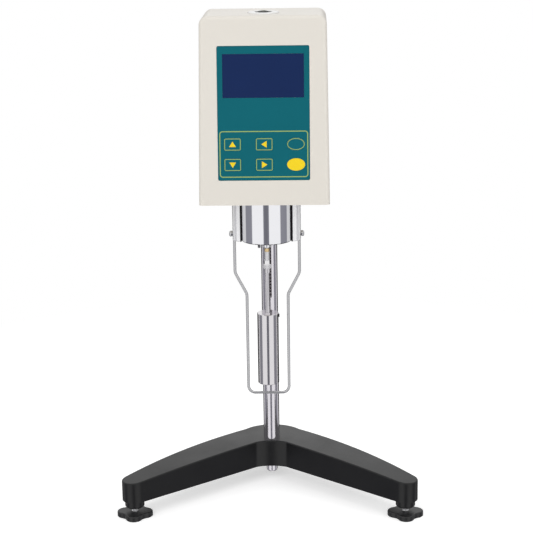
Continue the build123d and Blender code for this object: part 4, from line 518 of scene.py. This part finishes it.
class ViscometerStage(bpy.types.PropertyGroup):
    """Camera and light."""

    lens: FloatProperty(
        name="Lens",
        description="Focal length on a 36 mm sensor",
        default=102.38,
        unit="CAMERA",
    )
    pitch: FloatProperty(
        name="Camera pitch",
        description="How far the camera looks down",
        default=radians(14.774),
        subtype="ANGLE",
    )
    daylight: FloatProperty(
        name="Room light",
        description="Strength of the even light from all round",
        default=0.62,
    )
    softbox: FloatProperty(
        name="Softbox power",
        description="Power of the large lamp at the front",
        default=15.0,
        unit="POWER",
    )


# ---------------------------------------------------------------- stage
CAMERA_PLACE = Vector((0.0404, -1.3835, 0.5665))
CAMERA_YAW = radians(-1.821)
CAMERA_ROLL = radians(-0.831)
SENSOR_WIDTH = 36.0            # millimetres
CAMERA_REACH = 50.0
WHITE = (1.0, 1.0, 1.0)
# brightness of the surroundings that polished metal shows, by direction away from the front
REFLECTED_BANDS = [
    (0.0, (0.16, 0.16, 0.18)),
    (0.060, (0.20, 0.20, 0.23)),
    (0.074, 0.95),
    (0.350, 0.95),
    (0.368, (0.27, 0.27, 0.30)),
    (0.555, (0.25, 0.25, 0.28)),
    (0.575, 0.68),
    (0.690, 0.64),
    (0.710, 0.012),
    (0.935, 0.012),
    (0.965, 1.10),
]
UPPER_ROOM = (0.95, 0.95, 0.95)
UPPER_ROOM_START = 0.22        # upward part of the direction in which it begins
UPPER_ROOM_END = 0.34
FLOOR_REACH = 8.0
PAPER = (0.80, 0.80, 0.80)
PAPER_GLOW = 0.50
FADE_START = 0.25              # distance at which the paper begins to turn white
FADE_END = 0.60
LAMP_AIM = Vector((0.0, -0.06, 0.25))
# name, place, size and share of the set power
LAMPS = (
    ("front_softbox", (-0.9, -1.7, 1.3), 1.4, 1.0),
    ("side_softbox", (1.5, -0.9, 1.0), 1.1, 0.45),
    ("top_softbox", (0.0, 0.3, 1.9), 1.2, 0.15),
)


def seen_directly(recipe):
    """1 for rays from the camera or through glass."""
    camera = recipe.add("ShaderNodeLightPath", output="Is Camera Ray")
    glass = recipe.add("ShaderNodeLightPath", output="Is Transmission Ray")
    return recipe.maths("MAXIMUM", camera, glass)


class VISCOMETER_OT_stage(bpy.types.Operator):
    """Set the camera, the room, the floor and the lamps"""

    bl_idname = "viscometer.stage"
    bl_label = "Stage"

    def execute(self, context):
        settings = context.scene.viscometer_stage
        context.scene.view_settings.view_transform = "Standard"
        self.set_camera(context.scene, settings)
        self.set_room(context.scene, settings.daylight)
        self.set_floor()
        self.set_lamps(settings.softbox)
        return {"FINISHED"}

    def set_camera(self, scene, settings):
        camera = bpy.data.objects.new("camera", bpy.data.cameras.new("camera"))
        camera.data.lens = settings.lens
        camera.data.sensor_width = SENSOR_WIDTH
        camera.data.clip_end = CAMERA_REACH
        pitch = settings.pitch
        ahead = Vector((sin(CAMERA_YAW), cos(CAMERA_YAW), 0))
        forward = ahead * cos(pitch) - Vector((0, 0, sin(pitch)))
        level = Vector((cos(CAMERA_YAW), -sin(CAMERA_YAW), 0))
        upright = level.cross(forward)
        right = level * cos(CAMERA_ROLL) + upright * sin(CAMERA_ROLL)
        up = upright * cos(CAMERA_ROLL) - level * sin(CAMERA_ROLL)
        turned = Matrix((right, up, -forward)).transposed().to_4x4()
        camera.matrix_world = Matrix.Translation(CAMERA_PLACE) @ turned
        scene.collection.objects.link(camera)
        scene.camera = camera

    def set_room(self, scene, daylight):
        """Even light for the surfaces, banded surroundings for reflections, white behind."""
        world = bpy.data.worlds.new("room")
        world.use_nodes = True
        world.node_tree.nodes.clear()
        recipe = Recipe(world.node_tree)
        direction = recipe.add("ShaderNodeTexCoord", output="Generated")
        sideways = recipe.axis(direction, "X")
        ahead = recipe.axis(direction, "Y") * -1.0
        turn = recipe.maths("ABSOLUTE", recipe.maths("ARCTAN2", sideways, ahead)) / pi
        bands = recipe.add("ShaderNodeValToRGB", {0: turn}, stops=REFLECTED_BANDS)
        upward = recipe.axis(direction, "Z")
        high = recipe.add("ShaderNodeMapRange", {0: upward, 1: UPPER_ROOM_START, 2: UPPER_ROOM_END})
        shown = recipe.blend(high, bands, UPPER_ROOM)
        reflected = recipe.add("ShaderNodeBackground", {0: shown})
        light = recipe.add("ShaderNodeBackground", {0: WHITE, 1: daylight})
        behind = recipe.add("ShaderNodeBackground", {0: WHITE, 1: 1.0})
        glossy = recipe.add("ShaderNodeLightPath", output="Is Glossy Ray")
        lit = recipe.add("ShaderNodeMixShader", {0: glossy, 1: light, 2: reflected})
        direct = seen_directly(recipe)
        whole = recipe.add("ShaderNodeMixShader", {0: direct, 1: lit, 2: behind})
        recipe.add("ShaderNodeOutputWorld", {"Surface": whole})
        scene.world = world

    def set_floor(self):
        """Pale paper that glossy rays pass, so that metal shows the room."""
        mesh = bmesh.new()
        bmesh.ops.create_grid(mesh, x_segments=1, y_segments=1, size=FLOOR_REACH)
        floor = new_piece("floor", mesh)
        material = bpy.data.materials.new("floor_paper")
        material.use_nodes = True
        material.node_tree.nodes.clear()
        recipe = Recipe(material.node_tree)
        paper = recipe.add("ShaderNodeBsdfDiffuse", {0: PAPER})
        glow = recipe.add("ShaderNodeEmission", {0: WHITE, 1: PAPER_GLOW})
        shining = recipe.add("ShaderNodeAddShader", {0: paper, 1: glow})
        white = recipe.add("ShaderNodeEmission", {0: WHITE, 1: 1.0})
        place = {0: recipe.place()}
        distance = recipe.add("ShaderNodeVectorMath", place, output="Value", operation="LENGTH")
        far = recipe.add("ShaderNodeMapRange", {0: distance, 1: FADE_START, 2: FADE_END})
        faded = recipe.add("ShaderNodeMixShader", {0: far, 1: shining, 2: white})
        direct = seen_directly(recipe)
        shown = recipe.add("ShaderNodeMixShader", {0: direct, 1: paper, 2: faded})
        clear = recipe.add("ShaderNodeBsdfTransparent")
        glossy = recipe.add("ShaderNodeLightPath", output="Is Glossy Ray")
        whole = recipe.add("ShaderNodeMixShader", {0: glossy, 1: shown, 2: clear})
        recipe.add("ShaderNodeOutputMaterial", {"Surface": whole})
        floor.data.materials.append(material)

    def set_lamps(self, power):
        for name, place, size, share in LAMPS:
            lamp = bpy.data.objects.new(name, bpy.data.lights.new(name, "AREA"))
            lamp.data.energy = power * share
            lamp.data.size = size
            aim = (LAMP_AIM - Vector(place)).to_track_quat("-Z", "Y").to_matrix().to_4x4()
            lamp.matrix_world = Matrix.Translation(place) @ aim
            lamp.visible_glossy = False
            bpy.context.scene.collection.objects.link(lamp)


# ---------------------------------------------------------------- stand
class VISCOMETER_OT_stand(bpy.types.Operator):
    """Finish the base casting, its column and its rack"""

    bl_idname = "viscometer.stand"
    bl_label = "Stand"

    def execute(self, context):
        settings = context.scene.viscometer_finish
        paint(satin_casting("base_enamel", tuple(settings.casting)), "base_casting")
        paint(moulded_plastic("foot_rubber", (0.012, 0.012, 0.012), 0.6), "rear_foot")
        chrome = bright_metal(
            "column_chrome", (0.78, 0.755, 0.80), 0.15, COLUMN_GRAIN, COLUMN_GRAIN_DEPTH
        )
        paint(chrome, "column", "column_nut")
        paint(bright_metal("washer_zinc", (0.62, 0.62, 0.60), 0.25, EVEN_GRAIN), "column_washer")
        paint(rack_steel(), "rack")
        paint(moulded_plastic("stop_black", (0.012, 0.012, 0.013), 0.3), "travel_stops")
        return {"FINISHED"}


def rack_steel():
    """Machined rack: dark oily patches and brighter steel, mixed at random in blotches stretched
    along X.
    """
    finish = Finish("rack_steel")
    oil = finish.noise(0.0016, stretch=(3.0, 1.0, 1.0), detail=4.0)
    shade = finish.blend(oil, (0.10, 0.09, 0.10), (0.42, 0.39, 0.41))
    return finish.surface(
        Base_Color=shade,
        Metallic=0.85,
        Roughness=0.30 + oil * 0.18,
        Normal=finish.bump(oil, 0.00003, 0.5),
    )


THREAD_END = 0.3               # part of the thread's depth lost at the rod's ends


class VISCOMETER_OT_feet(bpy.types.Operator):
    """Cut threads on the levelling screws and finish their star knobs"""

    bl_idname = "viscometer.feet"
    bl_label = "Levelling feet"

    def execute(self, context):
        settings = context.scene.viscometer_finish
        zinc = bright_metal("screw_zinc", (0.88, 0.88, 0.90), 0.2, EVEN_GRAIN, metallic=0.5)
        black = moulded_plastic("knob_black", (0.010, 0.010, 0.011), 0.34)
        for side in ("left", "right"):
            node = f"foot_screw_{side}"
            screw = self.threaded_rod(f"levelling_screw_{side}", node, settings.thread_depth)
            mount(screw, zinc, f"foot_screw_{side}_body", node)
            paint(black, f"foot_knob_{side}")
        return {"FINISHED"}

    def threaded_rod(self, name, node, depth, pitch=MM, segments=40, rows_per_turn=8):
        """Rod with a V thread, as long and as wide as the node."""
        low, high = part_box(node)
        outer = (high.x - low.x) / 2
        count = ceil((high.z - low.z) / pitch * rows_per_turn)

        def cut(height):
            def radius(angle):
                phase = (height / pitch - angle / tau) % 1.0
                end = min(height - low.z, high.z - height, pitch) / pitch
                return outer - depth * abs(2 * phase - 1) - THREAD_END * depth * (1 - end)

            return radius

        heights = [low.z + (high.z - low.z) * row / count for row in range(count + 1)]
        rows = [(height, cut(height)) for height in heights]
        return turned_grid(name, middle(node), rows, segments)


# ---------------------------------------------------------------- head
class VISCOMETER_OT_housing(bpy.types.Operator):
    """Finish the head's shells, its bottom plate and its screws"""

    bl_idname = "viscometer.housing"
    bl_label = "Housing"

    def execute(self, context):
        settings = context.scene.viscometer_finish
        ivory = moulded_enamel("ivory_enamel", tuple(settings.ivory))
        paint(ivory, "housing_shell", "rear_cover", "bottom_plate")
        paint(bright_metal("case_screw_zinc", (0.6, 0.6, 0.6), 0.28, EVEN_GRAIN), "housing_screws")
        return {"FINISHED"}


ARROWS = {"key_up": 90.0, "key_down": -90.0, "key_left": 180.0, "key_right": 0.0}
ARROW_LENGTH = 4.6 * MM
ARROW_WIDTH = 5.6 * MM
ARROW_AHEAD = 0.55             # share of an arrow's length before the middle of its key
DOT_PITCH = 0.45 * MM
KEY_LINE = 0.6 * MM
KEY_LINE_INSET = 0.22 * MM     # outline inside the key's edge
KEY_CORNER = 1.2 * MM
FRAME_LINE = 0.8 * MM
FRAME_CORNER = 2.6 * MM
FRAME_MARGIN = 1.4 * MM        # frame inside the panel's side edges
# heights along the slanted front
FRAME_TOP = 62.0 * MM
FRAME_FOOT = 23.3 * MM
PANEL_FOOT = 20.8 * MM


class VISCOMETER_OT_panel(bpy.types.Operator):
    """Print the membrane panel and its keys, and finish the display"""

    bl_idname = "viscometer.panel"
    bl_label = "Panel and keys"

    def execute(self, context):
        settings = context.scene.viscometer_finish
        film = printed_film("panel_film", tuple(settings.film))
        lines = ink("line_ink", tuple(settings.lines))
        bright = ink("key_ink", tuple(settings.bright))
        paint(film, "membrane_panel", *ARROWS, "key_reset")
        paint(bright, "key_enter")
        paint(dot_matrix("display_blue", tuple(settings.display), DOT_PITCH), "display_window")
        thickness = settings.print_thickness
        self.print_frame(lines, thickness)
        for key in (*ARROWS, "key_reset"):
            self.print_key_line(key, lines, thickness)
        for key, heading in ARROWS.items():
            self.print_arrow(key, heading, bright, thickness)
        return {"FINISHED"}

    def print_frame(self, material, thickness):
        """Thin rounded frame round the two rows of keys."""
        place, width, height = front_of("membrane_panel")
        frame_width = width - 2 * FRAME_MARGIN
        frame_height = FRAME_TOP - FRAME_FOOT
        rise = (FRAME_TOP + FRAME_FOOT) / 2 - PANEL_FOOT - height / 2
        centred = place @ Matrix.Translation((0.0, rise, 0.0))
        outer = rounded_outline(frame_width, frame_height, FRAME_CORNER)
        inner = rounded_outline(
            frame_width - 2 * FRAME_LINE, frame_height - 2 * FRAME_LINE, FRAME_CORNER - FRAME_LINE
        )
        piece = printed_shape("panel_frame_line", centred, outer, thickness, inner)
        mount(piece, material, "head")

    def print_key_line(self, key, material, thickness):
        """Outline that follows the edge of a key."""
        place, width, height = front_of(key)

        def outline(inset):
            size = (width - 2 * inset, height - 2 * inset)
            if key == "key_reset":
                return ellipse_outline(*size)
            return rounded_outline(*size, KEY_CORNER + KEY_LINE_INSET - inset)

        outer, inner = outline(KEY_LINE_INSET), outline(KEY_LINE_INSET + KEY_LINE)
        piece = printed_shape(f"{key}_line", place, outer, thickness, inner)
        mount(piece, material, f"{key}_body")

    def print_arrow(self, key, heading, material, thickness):
        """Plain solid triangle in the middle of a key."""
        place, _, _ = front_of(key)
        turned = place @ Matrix.Rotation(radians(heading), 4, "Z")
        tip = (ARROW_LENGTH * ARROW_AHEAD, 0.0)
        foot = ARROW_LENGTH * (ARROW_AHEAD - 1)
        outline = [tip, (foot, ARROW_WIDTH / 2), (foot, -ARROW_WIDTH / 2)]
        piece = printed_shape(f"{key}_arrow", turned, outline, thickness)
        mount(piece, material, f"{key}_body")


VIAL_RADIUS = 7.5 * MM
DOME_RISE = 2.0 * MM
MARK_RADIUS = 3.3 * MM
MARK_WIRE = 0.14 * MM
MARK_FLATNESS = 0.6            # height of the mark's section to its width
BUBBLE_RADIUS = 2.3 * MM
BUBBLE_RISE = 0.06 * MM        # bubble's crown above the dome
BUBBLE_SINK = 0.02 * MM        # its edge below the dome
BUBBLE_ASIDE = Vector((0.5 * MM, -0.4 * MM, 0.0))


def dome_drop(radius):
    """How far the vial's dome falls from its top at this radius."""
    dome = (VIAL_RADIUS**2 + DOME_RISE**2) / 2 / DOME_RISE
    return dome - (dome**2 - radius**2) ** 0.5


class VISCOMETER_OT_level(bpy.types.Operator):
    """Finish the bubble level in the top of the head"""

    bl_idname = "viscometer.level"
    bl_label = "Bubble level"

    def execute(self, context):
        paint(moulded_plastic("level_white", (0.86, 0.86, 0.85), 0.25, 0.0008), "level_ring")
        paint(dark_fluid("level_fluid", (0.012, 0.014, 0.012)), "level_vial")
        low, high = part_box("level_vial")
        centre = (low + high) / 2
        crown = Vector((centre.x, centre.y, high.z))
        white = ink("level_mark", (0.75, 0.75, 0.72))
        mount(self.mark_ring(crown), white, "head")
        bubble = self.bubble(crown + BUBBLE_ASIDE)
        mount(bubble, dark_fluid("level_bubble", (0.10, 0.13, 0.07)), "head")
        return {"FINISHED"}

    def mark_ring(self, crown, around=48, across=8):
        """Fine ring that lies on the dome."""
        mesh = bmesh.new()
        rings = []
        for step in range(around):
            angle = tau * step / around
            ring = []
            for turn in range(across):
                slope = tau * turn / across
                reach = MARK_RADIUS + MARK_WIRE * cos(slope)
                height = crown.z - dome_drop(MARK_RADIUS) + MARK_WIRE * MARK_FLATNESS * sin(slope)
                x, y = crown.x + reach * cos(angle), crown.y + reach * sin(angle)
                ring.append(mesh.verts.new((x, y, height)))
            rings.append(ring)
        for first, second in zip(rings, rings[1:] + rings[:1]):
            join_rings_across(mesh, first, second)
        return new_piece("level_mark_ring", mesh)

    def bubble(self, top, rows=5, around=32):
        """Shallow lens just proud of the dome."""
        mesh = bmesh.new()
        crown = mesh.verts.new(top + Vector((0, 0, BUBBLE_RISE)))
        rings = []
        for row in range(1, rows + 1):
            reach = BUBBLE_RADIUS * row / rows
            height = top.z - dome_drop(reach) + BUBBLE_RISE * (1 - (row / rows) ** 3)
            if row == rows:
                height -= BUBBLE_SINK
            rings.append(upright_ring(mesh, top, height, round_at(reach), around))
        for step in range(around):
            mesh.faces.new((crown, rings[0][step], rings[0][(step + 1) % around]))
        for inner, outer in zip(rings, rings[1:]):
            join_rings_across(mesh, inner, outer)
        mesh.faces.new(list(reversed(rings[-1])))
        return new_piece("level_air_bubble", mesh)


# ---------------------------------------------------------------- guard and rotor
# painted shade where the cheeks meet the collar, a black band standing in for the shadow in the
# gap: distance from the middle, half its width
PAINTED_GAP_SHADE = (21.8 * MM, 1.15 * MM)
WIRE_RADIUS = 1.25 * MM
# guard's middle line from a cheek to the bar under the rotor: distance aside, height, bend
WIRE_ROUTE = (
    (28.4 * MM, 252.5 * MM, 0.0),
    (28.4 * MM, 220.8 * MM, 9.0 * MM),
    (18.2 * MM, 201.2 * MM, 9.0 * MM),
    (18.2 * MM, 109.2 * MM, 6.0 * MM),
)


class VISCOMETER_OT_guard(bpy.types.Operator):
    """Polish the collar, its cheeks and the wire guard"""

    bl_idname = "viscometer.guard"
    bl_label = "Collar and guard"

    def execute(self, context):
        plating = (PLATED_GRAIN, FINE_GRAIN_DEPTH)
        # the collar and the cheeks both carry the black band of painted gap shade where they meet
        chrome = bright_metal("collar_chrome", (0.90, 0.90, 0.93), 0.05, *plating, joint=PAINTED_GAP_SHADE)
        paint(chrome, "collar")
        paint(bright_metal("nose_chrome", (0.90, 0.90, 0.92), 0.05, *plating), "nose_bushing")
        paint(bright_metal("pin_steel", (0.16, 0.16, 0.17), 0.2, PIN_GRAIN), "stop_pin")
        satin = bright_metal(
            "cheek_satin", (0.92, 0.92, 0.94), 0.14, *plating, metallic=0.35, joint=PAINTED_GAP_SHADE
        )
        paint(satin, "guard_cheeks")
        wire = bright_metal("wire_steel", (0.68, 0.68, 0.69), 0.15, WIRE_GRAIN)
        paint(wire, "guard_screws")
        mount(self.bent_wire(), wire, "head", "guard_wire")
        return {"FINISHED"}

    def middle_line(self, bend_steps=8):
        """The guard's line from cheek to cheek, with its corners rounded."""
        side = [Vector((aside, height)) for aside, height, _ in WIRE_ROUTE]
        corners = side + [Vector((-corner.x, corner.y)) for corner in reversed(side)]
        bends = [bend for _, _, bend in WIRE_ROUTE]
        bends += reversed(bends)
        line = []
        for index, (corner, bend) in enumerate(zip(corners, bends)):
            if not bend:
                line.append(corner)
                continue
            before = (corners[index - 1] - corner).normalized()
            after = (corners[index + 1] - corner).normalized()
            half = before.angle(after) / 2
            centre = corner + (before + after).normalized() * bend / sin(half)
            start = corner + before * bend * cos(half) / sin(half) - centre
            sweep = (pi - 2 * half) * (1 if start.cross(after) > 0 else -1)
            for step in range(bend_steps + 1):
                line.append(centre + Matrix.Rotation(sweep * step / bend_steps, 2) @ start)
        return line

    def bent_wire(self, around=20):
        """One round wire, bent in the plane of the rotor's axis."""
        line = self.middle_line()
        mesh = bmesh.new()
        rings = []
        for index, point in enumerate(line):
            following = line[min(index + 1, len(line) - 1)]
            along = (following - line[max(index - 1, 0)]).normalized()
            outward = Vector((along.y, -along.x))
            ring = []
            for step in range(around):
                angle = tau * step / around
                place = point + outward * WIRE_RADIUS * cos(angle)
                depth = ROTOR_AXIS.y + WIRE_RADIUS * sin(angle)
                ring.append(mesh.verts.new((ROTOR_AXIS.x + place.x, depth, place.y)))
            rings.append(ring)
        for first, second in zip(rings, rings[1:]):
            join_rings(mesh, first, second)
        close_ends(mesh, rings)
        bmesh.ops.recalc_face_normals(mesh, faces=mesh.faces)
        return new_piece("guard_bent_wire", mesh)


KNURL_DEPTH = 0.28 * MM
KNURL_PITCH = 1.3 * MM
KNURL_TEETH = 26
KNURL_ROWS = 16
KNURL_MARGIN = 0.4 * MM        # plain edge above and below the knurl
KNURL_TOP = 4.1 * MM           # above the nut's lower end
NUT_EDGE = 0.5 * MM            # ends of the knurled ring inside its crests
NUT_FLATS = 2.75 * MM          # flats above the knurl, out from the axis
NUT_SIDES = 8
NUT_NECK = 2.3 * MM            # radius above the flats
NECK_BELOW_GROOVE = 0.9 * MM
GROOVE_MIDDLE = 8.2 * MM       # above the nut's lower end
GROOVE_HALF = 0.35 * MM
GROOVE_SLOPE = 0.05 * MM       # along the axis, on either side of the groove's floor
GROOVE_DEPTH = 0.3 * MM
NUT_CHAMFER = 0.3 * MM


class VISCOMETER_OT_rotor(bpy.types.Operator):
    """Knurl the coupling nut and finish the rotor"""

    bl_idname = "viscometer.rotor"
    bl_label = "Coupling and rotor"

    def execute(self, context):
        turned = bright_metal(
            "rotor_steel", (0.76, 0.74, 0.76), 0.11, ROTOR_GRAIN, FINE_GRAIN_DEPTH
        )
        paint(turned, "rotor_body", "rotor_shaft")
        paint(bright_metal("pivot_steel", (0.7, 0.7, 0.7), 0.12, SPINDLE_GRAIN), "pivot_shaft")
        paint(bright_metal("ring_brass", (0.95, 0.72, 0.40), 0.2, RING_GRAIN), "brass_ring")
        chrome = bright_metal("nut_chrome", (0.86, 0.85, 0.86), 0.1, SPINDLE_GRAIN)
        mount(self.knurled_nut(), chrome, "spindle", "coupling_nut")
        return {"FINISHED"}

    def knurled_nut(self, segments=156):
        """The coupling nut, with a diamond knurl on its wide ring and a groove above it."""
        low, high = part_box("coupling_nut")
        wide = (high.x - low.x) / 2
        knurl_top = low.z + KNURL_TOP
        groove = low.z + GROOVE_MIDDLE
        neck, edge = round_at(NUT_NECK), round_at(wide - NUT_EDGE)
        groove_floor = round_at(NUT_NECK - GROOVE_DEPTH)
        floor_half = GROOVE_HALF - GROOVE_SLOPE

        def flats(angle):
            """Radius of a polygon whose flats are NUT_FLATS out."""
            return NUT_FLATS / cos(angle % (tau / NUT_SIDES) - pi / NUT_SIDES)

        def diamonds(height):
            def radius(angle):
                def ridge(lean):
                    phase = KNURL_TEETH * angle / tau + lean * height / KNURL_PITCH
                    return abs(2 * (phase % 1.0) - 1)

                return wide - KNURL_DEPTH * (1 - min(ridge(1), ridge(-1)))

            return radius

        rows = [(low.z, edge)]
        for step in range(KNURL_ROWS + 1):
            climb = (KNURL_TOP - 2 * KNURL_MARGIN) * step / KNURL_ROWS
            height = low.z + KNURL_MARGIN + climb
            rows.append((height, diamonds(height)))
        rows += [
            (knurl_top, edge),
            (knurl_top, flats),
            (groove - NECK_BELOW_GROOVE, flats),
            (groove - NECK_BELOW_GROOVE, neck),
            (groove - GROOVE_HALF, neck),
            (groove - floor_half, groove_floor),
            (groove + floor_half, groove_floor),
            (groove + GROOVE_HALF, neck),
            (high.z - NUT_CHAMFER, neck),
            (high.z, round_at(NUT_NECK - NUT_CHAMFER)),
        ]
        return turned_grid("knurled_nut", middle("coupling_nut"), rows, segments)


# ---------------------------------------------------------------- lift bracket, rear and works
class VISCOMETER_OT_lift(bpy.types.Operator):
    """Finish the lift bracket, its pinion and its knobs"""

    bl_idname = "viscometer.lift"
    bl_label = "Lift bracket"

    def execute(self, context):
        settings = context.scene.viscometer_finish
        paint(satin_casting("bracket_enamel", tuple(settings.casting)), "lift_bracket")
        black = moulded_plastic("lift_knob_black", (0.011, 0.011, 0.012), 0.36)
        paint(black, "lift_knob", "tension_screw")
        paint(bright_metal("pinion_steel", (0.6, 0.6, 0.61), 0.22, CROSS_GRAIN), "pinion_shaft")
        brass = bright_metal("bush_brass", (0.72, 0.5, 0.2), 0.28, CROSS_GRAIN)
        paint(brass, "pinion_bushes", "friction_shoe")
        return {"FINISHED"}


class VISCOMETER_OT_rear(bpy.types.Operator):
    """Finish the power jack and the switch"""

    bl_idname = "viscometer.rear"
    bl_label = "Power jack and switch"

    def execute(self, context):
        paint(moulded_plastic("jack_black", (0.012, 0.012, 0.012), 0.35), "power_jack")
        paint(moulded_plastic("bezel_black", (0.014, 0.014, 0.014), 0.42), "switch_bezel")
        paint(moulded_plastic("rocker_black", (0.02, 0.02, 0.02), 0.28), "power_rocker")
        return {"FINISHED"}


class VISCOMETER_OT_works(bpy.types.Operator):
    """Finish the chassis, the drive and the electronics inside the head"""

    bl_idname = "viscometer.works"
    bl_label = "Works inside the head"

    def execute(self, context):
        aluminium = bright_metal("works_aluminium", (0.7, 0.7, 0.71), 0.35, SHEET_GRAIN)
        paint(aluminium, "chassis", "drive_disc", "pivot_disc")
        steel = bright_metal("works_steel", (0.6, 0.6, 0.6), 0.25, EVEN_GRAIN)
        paint(steel, "pillars", "drive_shaft", "motor")
        zinc = bright_metal("works_zinc", (0.62, 0.62, 0.6), 0.3, EVEN_GRAIN)
        paint(zinc, "collar_screws", "bracket_screws")
        brass = bright_metal("works_brass", (0.75, 0.52, 0.22), 0.25, EVEN_GRAIN)
        paint(brass, "hairspring", "board_standoffs", "shelf_bearing")
        black = moulded_plastic("works_black", (0.02, 0.02, 0.02), 0.5)
        paint(black, "display_module", "light_gates")
        paint(moulded_enamel("board_mask", (0.01, 0.12, 0.05), 0.3), "control_board")
        return {"FINISHED"}


PIECE_OPERATORS = (
    VISCOMETER_OT_stage,
    VISCOMETER_OT_stand,
    VISCOMETER_OT_feet,
    VISCOMETER_OT_housing,
    VISCOMETER_OT_panel,
    VISCOMETER_OT_level,
    VISCOMETER_OT_guard,
    VISCOMETER_OT_rotor,
    VISCOMETER_OT_lift,
    VISCOMETER_OT_rear,
    VISCOMETER_OT_works,
)


class VISCOMETER_PT_sidebar(bpy.types.Panel):
    """Lists the settings and the pieces"""

    bl_idname = "VISCOMETER_PT_sidebar"
    bl_label = "Viscometer"
    bl_space_type = "VIEW_3D"
    bl_region_type = "UI"
    bl_category = "Viscometer"

    def draw(self, context):
        for settings in (context.scene.viscometer_stage, context.scene.viscometer_finish):
            for name in settings.__annotations__:
                self.layout.prop(settings, name)
        for operator in PIECE_OPERATORS:
            self.layout.operator(operator.bl_idname)


CLASSES = (ViscometerFinish, ViscometerStage, *PIECE_OPERATORS, VISCOMETER_PT_sidebar)


def register():
    for piece in CLASSES:
        bpy.utils.register_class(piece)
    bpy.types.Scene.viscometer_finish = PointerProperty(type=ViscometerFinish)
    bpy.types.Scene.viscometer_stage = PointerProperty(type=ViscometerStage)


def unregister():
    del bpy.types.Scene.viscometer_stage
    del bpy.types.Scene.viscometer_finish
    for piece in reversed(CLASSES):
        bpy.utils.unregister_class(piece)


def main():
    register()
    for operator in PIECE_OPERATORS:
        group, name = operator.bl_idname.split(".")
        getattr(getattr(bpy.ops, group), name)()


if __name__ == "__main__":
    main()
